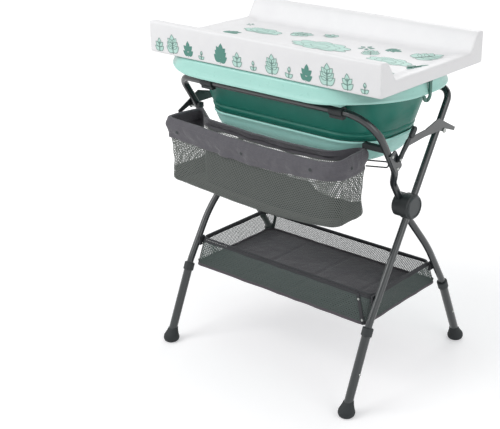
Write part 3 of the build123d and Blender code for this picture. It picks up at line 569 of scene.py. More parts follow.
mint_plastic = coat("mint_polypropylene", (166, 219, 209), (180, 229, 219), (0.09, 2), (0.24, 0.1, 0.02, 3),
                    (0.0016, 2, 0.00003), let_in(0.05, (0.002, 0.003, 0.003)))

rim_low, rim_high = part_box("bath_rim")
rim_top, rim_half_width = rim_high.z, rim_high.y
rim_left, rim_right = -rim_low.x, rim_high.x
lip_depth, left_rise, right_rise = 0.047, 0.018, 0.010
rim_left_corner, rim_right_corner = rim_half_width - 0.090, rim_half_width - 0.026
collar_half_length, collar_half_width = 0.336, leg_y(bar_z) * -1 - 0.01525
collar_left_corner, collar_right_corner = collar_half_width - 0.050, collar_half_width - 0.028
collar_bottom = rim_top - 0.052
rim_wall, collar_wall = 0.004, 0.0045
lip_roll, flange_roll, flange_crown = 0.0026, 0.0085, 0.0009
rim_draft, lip_step = 0.007, 0.0022
lip_low_x, lip_low_half, lip_rise_run = -0.03, 0.18, 0.20
inner_roll, under_step = 0.005, 0.007


def rim_ring(share, inset, height):
    """The outline between the rim's outer edge, at share 0, and its collar, at share 1."""
    outer = (rim_left, rim_right, rim_half_width, rim_left_corner, rim_right_corner)
    inner = (collar_half_length, collar_half_length, collar_half_width)
    inner += (collar_left_corner, collar_right_corner)
    return at_height(egg(*(a + (b - a) * share for a, b in zip(outer, inner)), inset), height)


def lip_edge(outline, share_down):
    """Lets the lip's edge rise towards the bath's ends, where the lip is shallower."""
    for point in outline:
        rise = left_rise if point.x < 0 else right_rise
        point.z += share_down * rise * eased(held((abs(point.x - lip_low_x) - lip_low_half) / lip_rise_run))
    return outline


def turn_points(centre_inset, centre_height, radius, start, end, steps):
    """Inset and height of points on a round edge, angles in degrees, 0 pointing inwards."""
    angles = [radians(start + (end - start) * k / steps) for k in range(steps + 1)]
    return [(centre_inset + radius * cos(a), centre_height + radius * sin(a)) for a in angles]


def rim_rings():
    """The rim's section, from the lip's edge over the flange to the collar and back below."""
    rings = []
    rim_bottom = rim_top - lip_depth
    for inset, height in turn_points(lip_roll, rim_bottom + lip_roll, lip_roll, 0, -180, 8):
        rings.append(lip_edge(rim_ring(0, inset, height), 1))
    top_middle = rim_draft + flange_roll
    rings.append(lip_edge(rim_ring(0, lip_step * 0.4, rim_bottom + 0.0075), 0.95))
    rings.append(lip_edge(rim_ring(0, lip_step, rim_bottom + 0.0095), 0.9))
    rings.append(lip_edge(rim_ring(0, lip_step + rim_draft * 0.35, rim_bottom + 0.024), 0.5))
    for inset, height in turn_points(top_middle, rim_top - flange_roll, flange_roll, 180, 90, 8):
        rings.append(rim_ring(0, inset, height - flange_crown))
    for share in (0.3, 0.5, 0.7, 0.86):
        crown = flange_crown * (1 - (2 * share - 1) ** 2)
        rings.append(rim_ring(share, top_middle * (1 - share), rim_top - flange_crown + crown))
    for inset, height in turn_points(collar_wall - inner_roll, rim_top - inner_roll, inner_roll, 90, 0, 6):
        rings.append(rim_ring(1, inset, height - flange_crown))
    rings.append(rim_ring(1, collar_wall, collar_bottom + 0.002))
    collar_roll = collar_wall / 2
    for inset, height in turn_points(collar_roll, collar_bottom + collar_roll, collar_roll, 0, -180, 6):
        rings.append(rim_ring(1, inset, height))
    under = rim_top - rim_wall
    rings.append(rim_ring(1, 0, under - 0.004))
    rings.append(rim_ring(1, -0.004, under))
    rings.append(rim_ring(0, rim_draft + rim_wall + under_step, under))
    rings.append(rim_ring(0, rim_draft + rim_wall, under - 0.006))
    rings.append(lip_edge(rim_ring(0, 2 * lip_roll, rim_bottom + 2 * lip_roll), 1))
    return rings


rim = loft("rim", rim_rings(), mint_plastic, closed=True)
display_low, display_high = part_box("water_display")
side_gap, low_gap, overrun = 0.0004, 0.0002, 0.01
pocket_low = display_low - Vector((side_gap, side_gap, low_gap))
pocket_high = [display_high.x + side_gap, display_high.y + side_gap, rim_top + overrun]
rim = cut_by(rim, block("display_pocket", pocket_low, pocket_high, 0.002))
holder_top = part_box("front_bar_holders")[1].z
seat_half_length, seat_half_width, seat_x, seat_gap, seat_sink = 0.018, 0.011, 0.228, 0.0003, 0.001
seats = []
for x in (-seat_x, seat_x):
    for y in (leg_y(bar_z), -leg_y(bar_z)):
        low = (x - seat_half_length, y - seat_half_width, holder_top + seat_gap)
        high = (x + seat_half_length, y + seat_half_width, rim_top - rim_wall + seat_sink)
        seats.append(block("rim_seat", low, high, 0.0012))
        seats[-1].data.materials.append(mint_plastic)
rim = joined(rim, *seats)
fit(rim, "bath", "mint_plastic", "bath_rim")

# Water thermometer let into the rim, the drain plug, and the hook that hangs on its clip
# at the right end: moulded in dark green, but for the display's window, which is black.
green_plastic = coat("green_plastic", (36, 92, 80), (50, 108, 96), (0.02, 2), (0.32, 0.1, 0.0012, 2),
                     (0.0012, 2, 0.00004))
window_glass = coat("display_window", (22, 28, 30), (34, 40, 42), (0.01, 3), (0.08, 0.1, 0.01, 3))
dress(window_glass, "water_display")
dress(green_plastic, "drain_plug", "rim_hook", "hook_clip")

# Folding wall of the bath: soft green silicone, joined to the collar above and to the pan below, with a
# rounded fold band low down. The real wall goes flat when the pan is pushed up; here it is built standing.
green_silicone = coat("green_silicone", (12, 108, 94), (24, 124, 108), (0.05, 3), (0.34, 0.14, 0.05, 3),
                      (0.002, 3, 0.00005), let_in(0.06, (0.001, 0.002, 0.002)))
wall_low, wall_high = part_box("bath_wall")
wall_depth = wall_high.z - wall_low.z
wall_end_draft, wall_side_draft, wall_thickness = 0.040, 0.022, 0.003
# Height above the wall's lower edge and how far the wall stands out or in there
wall_profile = [
    (0.110, 0), (0.104, 0.0004), (0.100, -0.0006), (0.085, 0), (0.060, 0), (0.036, 0.0002),
    (0.026, 0.0006), (0.0215, 0.0001), (0.0195, -0.0024), (0.0180, -0.0014), (0.0165, 0.0012),
    (0.013, 0.0021), (0.009, 0.0021), (0.0055, 0.0010), (0.004, -0.0012), (0.0028, -0.0014), (0, 0),
]


def bath_ring(rise, out, height):
    """The wall's outline at a rise above its lower edge, moved out by a little."""
    fall = 1 - rise / wall_depth
    half_length = collar_half_length - fall * wall_end_draft + out
    half_width = collar_half_width - fall * wall_side_draft + out
    drawn_in = collar_half_width - half_width
    corners = (collar_left_corner - drawn_in, collar_right_corner - drawn_in)
    return at_height(egg(half_length, half_length, half_width, *corners), height)


wall_rings = [bath_ring(rise, out, wall_low.z + rise) for rise, out in wall_profile]
wall_rings += [bath_ring(rise, out - wall_thickness, wall_low.z + rise) for rise, out in wall_profile[::-1]]
folding_wall = loft("folding_wall", wall_rings, green_silicone, closed=True)
wall_finish = folding_wall.modifiers.new("Smooth folds", "SUBSURF")
wall_finish.levels = wall_finish.render_levels = 1
fit(folding_wall, "bath", "green_silicone", "bath_wall")
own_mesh(folding_wall)

# Base pan: the same mint plastic as the rim, and matt, but with painted light: its colour is painted lighter
# than the rim's to make up for the shade it stands in below the rim. It has a drain near its right end. The
# folding wall is bonded to its upper edge.
pan_plastic_painted_light = coat("pan_polypropylene", (174, 234, 224), (184, 240, 231), (0.06, 2), (0.38, 0.12, 0.0013, 3),
                   (0.0013, 3, 0.00005), let_in(0.05, (0.002, 0.003, 0.003)))
pan_low, pan_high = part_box("bath_pan")
pan_half_length, pan_half_width = collar_half_length - wall_end_draft, collar_half_width - wall_side_draft
pan_edge_out, pan_wall, pan_corner_min = pan_high.x - pan_half_length, 0.003, 0.02
# Drop below the pan's edge, and how far the end and the side have come in there
pan_profile = [
    (0.0015, -pan_edge_out, -pan_edge_out), (0.008, -pan_edge_out, -pan_edge_out),
    (0.0105, 0.0, 0.0), (0.022, 0.0045, 0.002), (0.036, 0.011, 0.0066), (0.048, 0.0175, 0.0135),
    (0.056, 0.0235, 0.0195), (0.062, 0.031, 0.027), (0.0665, 0.040, 0.036), (0.069, 0.052, 0.048),
    (0.069, 0.085, 0.075), (0.069, 0.135, 0.098),
]


def pan_ring(end_inset, side_inset, height):
    half_length, half_width = pan_half_length - end_inset, pan_half_width - side_inset
    drawn_in = collar_half_width - half_width
    corners = [max(corner - drawn_in, pan_corner_min) for corner in (collar_left_corner, collar_right_corner)]
    return at_height(egg(half_length, half_length, half_width, *corners), height)


pan_depth = pan_high.z - pan_low.z
pan_rings = []
for drop, end_inset, side_inset in pan_profile[::-1]:
    height = pan_high.z - drop + pan_wall * drop / pan_depth
    pan_rings.append(pan_ring(end_inset + pan_wall, side_inset + pan_wall, height))
for drop, end_inset, side_inset in pan_profile:
    pan_rings.append(pan_ring(end_inset, side_inset, pan_high.z - drop))
pan = loft("pan", pan_rings, pan_plastic_painted_light, capped=True)
drain_x, drain_radius = 0.180, 0.016
drain_angles = [2 * pi * k / 48 for k in range(48)]
drain_round = [Vector((drain_x + drain_radius * cos(a), drain_radius * sin(a))) for a in drain_angles]
drain_rings = [at_height(drain_round, pan_low.z + height) for height in (-0.02, 0.02)]
pan = cut_by(pan, loft("drain_hole", drain_rings, pan_plastic_painted_light, capped=True))
fit(pan, "pan", "mint_plastic", "bath_pan")

# Padded changing top: white vinyl over foam on a board, with a high rounded wall along each
# side and a low lip across each end. The panels are heat-sealed, so the edges are soft.
vinyl = Finish("white_vinyl")
vinyl_grain = vinyl.node("ShaderNodeTexVoronoi", {"feature": "SMOOTH_F1"},
                         {"Vector": vinyl.place, "Scale": 900.0})
vinyl_softness = vinyl.cloudy(0.05, 2)
vinyl_relief = vinyl.relief(vinyl_softness, 0.0012, vinyl.relief(vinyl_grain, 0.00006))
white_vinyl = vinyl.surface({
    "Base Color": vinyl.mix(vinyl_softness, srgb(233, 233, 235), srgb(240, 240, 241)),
    "Roughness": 0.36 + 0.12 * vinyl.cloudy(0.015, 3), "Normal": vinyl_relief,
})
cover_low, cover_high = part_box("top_cover")
half_length, half_width, cover_bottom = cover_high.x, cover_high.y, cover_low.z
floor_thickness, floor_crown = 0.024, 0.003
wall_height, wall_crest, wall_foot = cover_high.z - cover_bottom, 0.030, 0.066
lip_height, lip_crest, lip_foot = 0.035, 0.024, 0.058
plan_corner, crest_round, bottom_round = 0.006, 0.007, 0.004
soft_turn, hollow_depth, hollow_seed = 0.16, 0.0012, 3.1


def grid_faces(columns, rows):
    """Four-sided faces over points laid out in columns, one column after the other."""
    firsts = [column * (rows + 1) + row for column in range(columns) for row in range(rows)]
    return [(first, first + rows + 1, first + rows + 2, first + 1) for first in firsts]


def soft_ramp(distance, crest, foot):
    """1 on a crest, 0 past its foot, with soft turns between."""
    share = (foot - distance) / (foot - crest)
    low = (share + sqrt(share * share + soft_turn ** 2)) / 2
    return 1 - (1 - low + sqrt((1 - low) ** 2 + soft_turn ** 2)) / 2 + soft_turn / 4


def lying_height(x, y):
    """Height of the cover's upper side above the board's underside, without its edges."""
    to_side, to_end = half_width - abs(y), half_length - abs(x)
    side = (wall_height - floor_thickness) * soft_ramp(to_side, wall_crest, wall_foot)
    end = (lip_height - floor_thickness) * soft_ramp(to_end, lip_crest, lip_foot)
    crown = floor_crown * max(1 - (y / (half_width - wall_foot)) ** 2, 0) * max(1 - (x / half_length) ** 4, 0)
    puff = hollow_depth * noise.noise(Vector((x * 14, y * 20, hollow_seed)))
    return floor_thickness + (side ** 4 + end ** 4) ** 0.25 + crown + puff


def edge_places(half, steps_in):
    """Places across the cover, close together near its edges."""
    near = [0, 0.0006, 0.0018, 0.0034, 0.0054, 0.0075, 0.0105, 0.015, 0.020, 0.025, 0.030, 0.035, 0.040]
    near += [0.046, 0.052, 0.058, 0.064, 0.071, 0.080]
    inner = half - near[-1]
    left = [-half + place for place in near]
    middle = [-inner + 2 * inner * k / steps_in for k in range(1, steps_in)]
    return left + middle + [-place for place in left[::-1]]


def plan_place(x, y):
    """Rounds the cover's square corners, seen from above."""
    u = (abs(x) - half_length + plan_corner) / plan_corner
    v = (abs(y) - half_width + plan_corner) / plan_corner
    if u <= 0 or v <= 0:
        return x, y
    across, along = u * sqrt(1 - v * v / 2), v * sqrt(1 - u * u / 2)
    new_x, new_y = half_length - plan_corner * (1 - across), half_width - plan_corner * (1 - along)
    return (new_x if x > 0 else -new_x), (new_y if y > 0 else -new_y)


def edge_drop(x, y):
    """How far the rounded edge has fallen at this place."""
    to_edge = min(half_width - abs(y), half_length - abs(x))
    if to_edge >= crest_round:
        return 0.0
    return crest_round - sqrt(crest_round ** 2 - (crest_round - to_edge) ** 2)


def cover_skin():
    """The upper side as a grid, then rings down the sides and in below."""
    xs, ys = edge_places(half_length, 40), edge_places(half_width, 22)
    tall = len(ys)
    points = []
    for x in xs:
        for y in ys:
            height = lying_height(x, y) - edge_drop(x, y)
            points.append(Vector((*plan_place(x, y), cover_bottom + height)))
    faces = grid_faces(len(xs) - 1, tall - 1)
    firsts = [i * tall for i in range(len(xs))]
    below = firsts + [firsts[-1] + j for j in range(1, tall)]
    below += [first + tall - 1 for first in firsts[-2::-1]] + list(range(tall - 2, 0, -1))
    rim_points, lower_rings = [points[i] for i in below], []
    for share in (0.2, 0.4, 0.6, 0.8, 0.93):
        drops = [(p.z - cover_bottom - bottom_round) * share for p in rim_points]
        lower_rings.append([Vector((p.x, p.y, p.z - drop)) for p, drop in zip(rim_points, drops)])
    for inset, height in turn_points(0, cover_bottom + bottom_round, bottom_round, 180, 270, 3):
        inset += bottom_round
        scale_x, scale_y = 1 - inset / half_length, 1 - inset / half_width
        lower_rings.append([Vector((p.x * scale_x, p.y * scale_y, height)) for p in rim_points])
    for lower in lower_rings:
        start, count = len(points), len(lower)
        points += lower
        for i in range(count):
            j = (i + 1) % count
            faces.append((below[i], start + i, start + j, below[j]))
        below = list(range(start, start + count))
    return points, faces + [tuple(below)]


cover = skin("cover", *cover_skin(), white_vinyl)
fit(cover, "changing_top", "top_vinyl", "top_cover")
board_fibre = coat("top_board_fibre", (206, 204, 198), (224, 222, 217), (0.003, 4), (0.7, 0.1, 0.003, 4),
                   (0.003, 4, 0.0001))
dress(board_fibre, "top_board")
dress(foot_rubber, "top_pads")


# Print on the top: leafy sprigs along the outer side walls and, on the lying face, clouds,
# leaves and petals, screen-printed in pale mint and dark green with fine grey-green lines.
def ink(name, dark, light):
    return coat(name, dark, light, (0.004, 3), (0.38, 0.1, 0.004, 3), (0.004, 3, 0.00004))


inks = {
    "pale": ink("mint_ink", (184, 222, 212), (196, 230, 221)),
    "dark": ink("green_ink", (74, 132, 120), (88, 146, 133)),
    "line": ink("line_ink", (104, 138, 130), (122, 154, 146)),
}
# Prints that overlap lie on layers, a hair apart
ink_depth, line_width, line_depth = 0.00018, 0.0015, 0.0006
layer_step, layers = 0.000012, 29
prints = {name: ([], []) for name in inks}


def on_lying_face(x, y, depth):
    return Vector((x, y, cover_bottom + lying_height(x, y) + depth))


def on_wall(way):
    """Where a print lies on the front wall, way 1, or on the back wall, way -1."""
    return lambda x, y, depth: Vector((way * x, -way * (half_width + depth), cover_bottom + y))


def print_shape(colour, lay, middle, outline, filled=True, rings=5):
    """Prints a shape that spreads from its middle, with a fine line round it."""
    count = len(outline)
    layer = layer_step * (len(prints[colour][0]) % layers)
    if filled:
        points, faces = prints[colour]
        start = len(points)
        points.append(lay(*middle, ink_depth + layer))
        for ring in range(1, rings + 1):
            spots = [Vector(middle).lerp(point, ring / rings) for point in outline]
            points += [lay(spot.x, spot.y, ink_depth + layer) for spot in spots]
        for i in range(count):
            j = (i + 1) % count
            faces.append((start, start + 1 + i, start + 1 + j))
            for ring in range(rings - 1):
                low, high = start + 1 + ring * count, start + 1 + (ring + 1) * count
                faces.append((low + i, high + i, high + j, low + j))
    if colour != "dark":
        points, faces = prints["line"]
        start = len(points)
        for i, point in enumerate(outline):
            run = outline[(i + 1) % count] - outline[i - 1]
            out = Vector((run.y, -run.x)).normalized() * line_width / 2
            points += [lay(*(point + side), line_depth + layer) for side in (out, -out)]
            low, high = start + 2 * i, start + 2 * ((i + 1) % count)
            faces.append((low, high, high + 1, low + 1))


def print_leaf(colour, lay, foot, tip, fullness, steps=11):
    """A pointed leaf from its foot to its tip."""
    foot, along = Vector(foot), Vector(tip) - Vector(foot)
    side = Vector((along.y, -along.x)) * fullness
    shares = [k / steps for k in range(steps + 1)]
    outline = [foot + along * s + side * sin(pi * s ** 0.8) / 2 for s in shares]
    outline += [foot + along * s - side * sin(pi * s ** 0.8) / 2 for s in shares[-2:0:-1]]
    print_shape(colour, lay, foot.lerp(Vector(tip), 0.45), outline, rings=3)


def sprig(colour, lay, foot, height, pairs, turn):
    """A stem with pairs of leaves and one at the top."""
    up = Vector((sin(turn), cos(turn)))
    side, foot, stem_low, stem_high = Vector((up.y, -up.x)), Vector(foot), 0.0009, 0.0005
    stem_top = foot + up * height * 0.72
    stem = [foot - side * stem_low, foot + side * stem_low]
    stem += [stem_top + side * stem_high, stem_top - side * stem_high]
    print_shape("dark" if colour == "dark" else "line", lay, foot + up * height * 0.3, stem, rings=2)
    for k in range(pairs):
        spot = foot + up * height * (0.08 + 0.56 * k / pairs)
        reach = height * (0.60 - 0.09 * k)
        for hand in (-1, 1):
            lean_out = side * hand * reach * 0.72 + up * reach * (0.52 + 0.16 * k)
            print_leaf(colour, lay, spot, spot + lean_out, 0.62)
    print_leaf(colour, lay, foot + up * height * 0.52, foot + up * height, 0.66)


def cloud(middle, width, bumps, filled=True):
    """A soft cloud: an oval whose edge swells into bumps."""
    outline = []
    for k in range(bumps * 10):
        angle = 2 * pi * k / (bumps * 10)
        swell = 0.82 + 0.18 * abs(sin(bumps * angle / 2))
        flat = 0.50 if sin(angle) > 0 else 0.36
        outline.append(Vector(middle) + Vector((cos(angle), sin(angle) * flat)) * width / 2 * swell)
    print_shape("pale", on_lying_face, Vector(middle), outline[::-1], filled)


def petals(middle, size):
    """Five dark petals round a middle."""
    for k in range(5):
        angle = 2 * pi * k / 5 + 0.3
        out = Vector((cos(angle), sin(angle))) * size
        print_leaf("dark", on_lying_face, Vector(middle) + out * 0.12, Vector(middle) + out * 0.5, 0.62)


# Along the walls: place, height, pairs of leaves, colour
wall_sprigs = [
    (-0.360, 0.038, 2, "pale"), (-0.306, 0.054, 3, "pale"), (-0.247, 0.044, 2, "dark"),
    (-0.198, 0.024, 1, "pale"), (-0.128, 0.056, 3, "dark"), (-0.066, 0.040, 2, "pale"),
    (-0.008, 0.026, 1, "pale"), (0.056, 0.054, 3, "pale"), (0.112, 0.030, 1, "pale"),
    (0.168, 0.046, 2, "dark"), (0.236, 0.058, 3, "pale"), (0.300, 0.042, 2, "pale"), (0.352, 0.028, 1, "pale"),
]
# On the lying face: colour, place, height, pairs of leaves, turn
lying_sprigs = [
    ("dark", (-0.318, -0.030), 0.060, 3, 0.9), ("pale", (-0.150, 0.085), 0.070, 3, 1.2),
    ("pale", (0.120, -0.120), 0.075, 3, -0.7), ("dark", (0.180, 0.100), 0.050, 2, 1.6),
    ("pale", (-0.020, 0.128), 0.050, 2, -1.3), ("pale", (0.290, 0.060), 0.095, 3, 0.5),
    ("dark", (0.330, -0.030), 0.060, 2, 1.1), ("pale", (0.185, 0.015), 0.060, 3, -0.6),
    ("pale", (-0.250, -0.120), 0.060, 3, 0.3),
]
clouds = [((-0.235, 0.055), 0.140, 7), ((0.015, 0.012), 0.200, 9), ((0.262, -0.010), 0.140, 8),
          ((-0.105, -0.105), 0.070, 5)]
flowers = [((0.128, 0.075), 0.052), ((-0.060, -0.060), 0.024), ((0.205, -0.100), 0.026),
           ((-0.330, 0.110), 0.028), ((0.335, -0.105), 0.022)]
wall_print_foot = 0.006
for way in (1, -1):
    for k, (x, height, pairs, colour) in enumerate(wall_sprigs):
        sprig(colour, on_wall(way), (x, wall_print_foot), height, pairs, 0.08 * sin(5 * k))
for place, width, bumps in clouds:
    cloud(place, width, bumps)
    for share in (0.66, 0.34):
        cloud(place, width * share, bumps - 2, filled=False)
for colour, place, *sizes in lying_sprigs:
    sprig(colour, on_lying_face, place, *sizes)
for place, size in flowers:
    petals(place, size)
for colour, (points, faces) in prints.items():
    fit(skin("print_" + colour, points, faces, inks[colour]), "changing_top", "top_vinyl")

# Upper basket: a black wire hoop carried by two brackets on the front frame, a net bag with
# a cloth floor that hangs from it, and a doubled band of woven cloth folded over the wire.
thread_width, weave_depth = 0.0009, 0.00012


def woven(name, dark, light):
    """Plain-weave cloth on the piece's own map, threads going over and under."""
    cloth = Finish(name)
    own_map = cloth.node("ShaderNodeUVMap", {"uv_map": "cloth_map"})
    turns = []
    for direction in ("X", "Y"):
        wave = {"wave_type": "BANDS", "bands_direction": direction, "wave_profile": "SIN"}
        values = {"Vector": own_map, "Scale": 0.3 / thread_width}
        turns.append(cloth.node("ShaderNodeTexWave", wave, values))
    weave = turns[0] * turns[1]
    slub = cloth.cloudy(0.008, 4, own_map)
    rumple = cloth.relief(cloth.cloudy(0.035, 3, own_map), 0.0035)
    shade = cloth.mix(0.45 * weave + 0.55 * slub, srgb(*dark), srgb(*light))
    return cloth.surface({
        "Base Color": shade, "Roughness": 0.78 + 0.12 * slub,
        "Normal": cloth.relief(weave, weave_depth, cloth.relief(slub, 0.0003, rumple)),
        "Sheen Weight": 0.25, "Sheen Roughness": 0.5,
    })


def yarn(name, dark, light):
    return coat(name, dark, light, (0.003, 3), (0.7, 0.15, 0.003, 3), (0.003, 3, 0.0001))


band_cloth = woven("band_cloth", (74, 73, 79), (108, 106, 112))
floor_cloth = woven("floor_cloth", (44, 43, 48), (70, 67, 74))
lining_cloth = woven("lining_cloth", (22, 23, 26), (35, 36, 39))
net_yarn = yarn("net_yarn", (94, 99, 96), (116, 121, 117))
black_wire = coat("black_wire", (26, 28, 30), (42, 45, 47), (0.01, 3), (0.32, 0.15, 0.01, 3),
                  (0.01, 3, 0.00004))

net = Pattern("net", {"Opening": "Float"})
net_holes = net.node("GeometryNodeExtrudeMesh", {"mode": "FACES"}, {
    "Mesh": net.given.part("Geometry"), "Offset Scale": 0.0, "Individual": True,
})
net_threads = net.node("GeometryNodeScaleElements", {"domain": "FACE"}, {
    "Geometry": net_holes, "Selection": net_holes.part("Top"), "Scale": net.given.part("Opening"),
})
net.ends(net.node("GeometryNodeDeleteGeometry", {"domain": "FACE"}, {
    "Geometry": net_threads, "Selection": net_holes.part("Top"),
}))


def net_cells(name, surface, length, height, pitch):
    """Six-sided cells over a surface that closes on itself, given as surface(along, down)."""
    columns, row_height = round(length / pitch), pitch * sqrt(3) / 2
    rows = round(height / row_height)
    corner = pitch / sqrt(3)
    points, faces = [], []
    for row in range(rows):
        for column in range(columns):
            faces.append(tuple(range(len(points), len(points) + 6)))
            for k in range(6):
                along = (column + (row % 2) / 2) / columns + corner * cos(pi / 6 + pi * k / 3) / length
                down = (row + 0.5) / rows + corner * sin(pi / 6 + pi * k / 3) / height
                points.append(surface(along % 1, held(down)))
    mesh = bpy.data.meshes.new(name)
    mesh.from_pydata(points, [], faces)
    return mesh


def point_on(ring, share):
    """The point this share of the way round a ring of points."""
    place = share * len(ring)
    first = int(place) % len(ring)
    return ring[first].lerp(ring[(first + 1) % len(ring)], place - int(place))


def ring_length(ring):
    return sum((ring[i] - ring[i - 1]).length for i in range(len(ring)))


def evened(ring, count):
    """The same closed line, with its points the same distance apart."""
    lengths = [0.0]
    for i in range(len(ring)):
        lengths.append(lengths[-1] + (ring[(i + 1) % len(ring)] - ring[i]).length)
    points, i = [], 0
    for k in range(count):
        wanted = lengths[-1] * k / count
        while lengths[i + 1] < wanted:
            i += 1
        share = (wanted - lengths[i]) / (lengths[i + 1] - lengths[i])
        points.append(ring[i].lerp(ring[(i + 1) % len(ring)], share))
    return points


hoop_low, hoop_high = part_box("basket_hoop")
bag_low, bag_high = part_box("basket_bag")
basket_left, basket_right, basket_front = hoop_low.x - 0.0025, hoop_high.x + 0.010, hoop_low.y
basket_top, basket_bottom = bag_high.z, bag_low.z
basket_back = leg_y(basket_top) + 0.002
basket_middle = leg_y(basket_top) - 0.061
back_bend = 0.072
bottom_inset, front_bow, deepest_sag = 0.005, 0.006, 0.014
left_flare, basket_tube_front = 0.009, leg_y(basket_top) - 0.026
band_height, back_band_height, corner_dip = 0.054, 0.027, 0.009
ring_points = 480


def basket_ring(inset):
    """The basket's outline from above: its back bows forward, round the bath's pan."""
    left, right, front = basket_left + inset, basket_right - inset, basket_front + inset
    back, middle = basket_back - inset, basket_middle - inset
    left_corner, right_corner = max(0.014 - inset, 0.006), max(0.040 - inset, 0.006)
    corners = [(right, front), (right, back), (right - back_bend, middle), (left + back_bend, middle)]
    corners += [(left, back), (left, front)]
    radii = [right_corner, 0.006, 0.060, 0.060, 0.008, left_corner]
    return evened(rounded_outline(corners, radii, 16, 14), ring_points)


inset_rings = {}


def basket_place(share, inset, height):
    """A point on the basket, this share of the way round, drawn in by an inset."""
    step = round(max(inset, -0.004) * 2000) / 2000
    for edge in (step, step + 0.0005):
        if edge not in inset_rings:
            inset_rings[edge] = basket_ring(edge)
    low, high = point_on(inset_rings[step], share), point_on(inset_rings[step + 0.0005], share)
    spot = low.lerp(high, (inset - step) / 0.0005)
    along = held((spot.x - basket_left) / (basket_right - basket_left))
    hang = sin(pi * along ** 1.3)
    bow = front_bow * hang if spot.y < basket_front + 0.05 else 0
    ahead = held((basket_tube_front - spot.y) / (basket_tube_front - basket_front))
    flare = left_flare * sin(pi / 2 * ahead) * max(1 - along * 6, 0)
    return Vector((spot.x - flare, spot.y - bow, height - deepest_sag * hang))


def slack(share, seed, size):
    """Uneven cloth: a small push in or out, the same at both ends of the round."""
    angle = 2 * pi * share
    return size * noise.noise(Vector((4 * cos(angle), 4 * sin(angle), seed)))


def band_drop(share):
    """How far the band reaches down: deep in front and at the ends, shallow at the back."""
    spot = basket_place(share, 0, 0)
    to_end = min(spot.x - basket_left, basket_right - spot.x)
    at_back = eased(held((spot.y + 0.235) / 0.03) * held((to_end - 0.010) / 0.045))
    return band_height - (band_height - back_band_height) * at_back + slack(share, 6.1, 0.003)


def drape(share, down):
    """How far the net hangs in from a straight wall, and how it crumples at the ends."""
    spot = basket_place(share, 0, 0)
    to_end = min(spot.x - basket_left, basket_right - spot.x)
    near_end = max(1 - to_end / 0.06, 0) * (1 if spot.y > basket_front + 0.03 else 0.35)
    crumple = noise.noise(Vector((spot.x * 9, spot.y * 18, down * 3.0))) * 0.007 * near_end
    belly = 0.004 * sin(pi * min(down * 1.2, 1))
    return belly + abs(crumple) + slack(share, 7.7 + down, 0.0016)


bag_bend = 0.012


def bag_surface(share, down, inside=0.0):
    """The net from below the band to the cloth floor, rounding in at the bottom."""
    start, end = basket_top - band_drop(share) + 0.005, basket_bottom + 0.0035
    fall = (start - end - bag_bend) + bag_bend * pi / 2
    run = down * fall
    straight = start - end - bag_bend
    draft = (bottom_inset - 0.002) * (basket_top - start + min(run, straight)) / (basket_top - end)
    inset = inside + 0.0035 + draft
    if run <= straight:
        return basket_place(share, inset + drape(share, down), start - run)
    angle = (run - straight) / bag_bend
    rounded = inset + drape(share, down) + bag_bend * (1 - cos(angle))
    return basket_place(share, rounded, end + bag_bend * (1 - sin(angle)))


net_opening, net_pitch = 0.57, 0.0056
bag_round, bag_depth = ring_length(basket_ring(0.010)), 0.142
bag_cells = net_cells("bag_cells", bag_surface, bag_round, bag_depth, net_pitch)
bag_net = net.on("bag_net", bag_cells, {"Opening": net_opening, "Material": net_yarn})
fit(bag_net, "front_frame", "mesh_fabric", "basket_bag")


def grid_cloth(name, points, rows, axes, material):
    """Cloth over points laid out in columns, mapped on two of its axes."""
    faces = grid_faces(len(points) // (rows + 1) - 1, rows)
    places = [tuple(points[i][axis] for axis in axes) for face in faces for i in face]
    return skin(name, points, faces, material, places, turned=False)


end_lining, back_lining, lining_gap = 0.044, 0.100, 0.0022
right_step, step_share = 0.095, 0.62


def lining():
    """Solid cloth inside the net's ends and back: low at the ends, higher in the middle."""
    steps = [k / 420 for k in range(-60, 361) if basket_place(k / 420 % 1, 0, 0).y > basket_front + 0.016]
    rows, points = 16, []
    for share in steps:
        spot = basket_place(share % 1, 0, 0)
        from_right = (basket_right - spot.x) / right_step
        right_climb = step_share * from_right if from_right < 1 else step_share + 1.4 * (from_right - 1)
        climb = min((spot.x - basket_left - 0.004) / back_bend, right_climb)
        height = end_lining + (back_lining - end_lining) * held(climb)
        fall = basket_top - band_drop(share % 1) + 0.005 - basket_bottom - bag_bend * (1 - pi / 2)
        for row in range(rows + 1):
            down = 1 - (1 - row / rows) * (height + bag_bend * (pi / 2 - 1)) / fall
            points.append(bag_surface(share % 1, down, lining_gap))
    return grid_cloth("bag_lining", points, rows, (0, 2), lining_cloth), steps


seam_depth, seam_width, crease_depth = 0.0022, 0.005, 0.0024


def cloth_floor(name, edge_ring, sag, seed, material, seams=()):
    """A cloth floor that fills a ring from front to back, with a slight sag, creases and seams."""
    ends = [min(p.x for p in edge_ring), max(p.x for p in edge_ring)]
    columns, rows, points = 150, 26, []
    for column in range(columns + 1):
        x = ends[0] + (ends[1] - ends[0]) * (1 - 0.999 * cos(pi * column / columns)) / 2
        crossed = []
        for a, b in zip(edge_ring, edge_ring[1:] + edge_ring[:1]):
            if (a.x - x) * (b.x - x) <= 0 and a.x != b.x:
                crossed.append(a.lerp(b, (x - a.x) / (b.x - a.x)).yz)
        front, back = min(crossed, key=lambda spot: spot.x), max(crossed, key=lambda spot: spot.x)
        for row in range(rows + 1):
            y, height = front.lerp(back, row / rows)
            off_edge = min(min(row, rows - row, column, columns - column) / 4, 1)
            crease = noise.noise(Vector((x * 9, y * 13, seed)))
            crease += 0.4 * noise.noise(Vector((x * 24, y * 30, seed)))
            dip = sag * sin(pi * row / rows) * sin(pi * column / columns)
            dip += sum(seam_depth * exp(-((x - seam) / seam_width) ** 2) for seam in seams) * off_edge
            points.append((x, y, height - dip + crease_depth * crease * off_edge))
    return grid_cloth(name, points, rows, (0, 1), material)


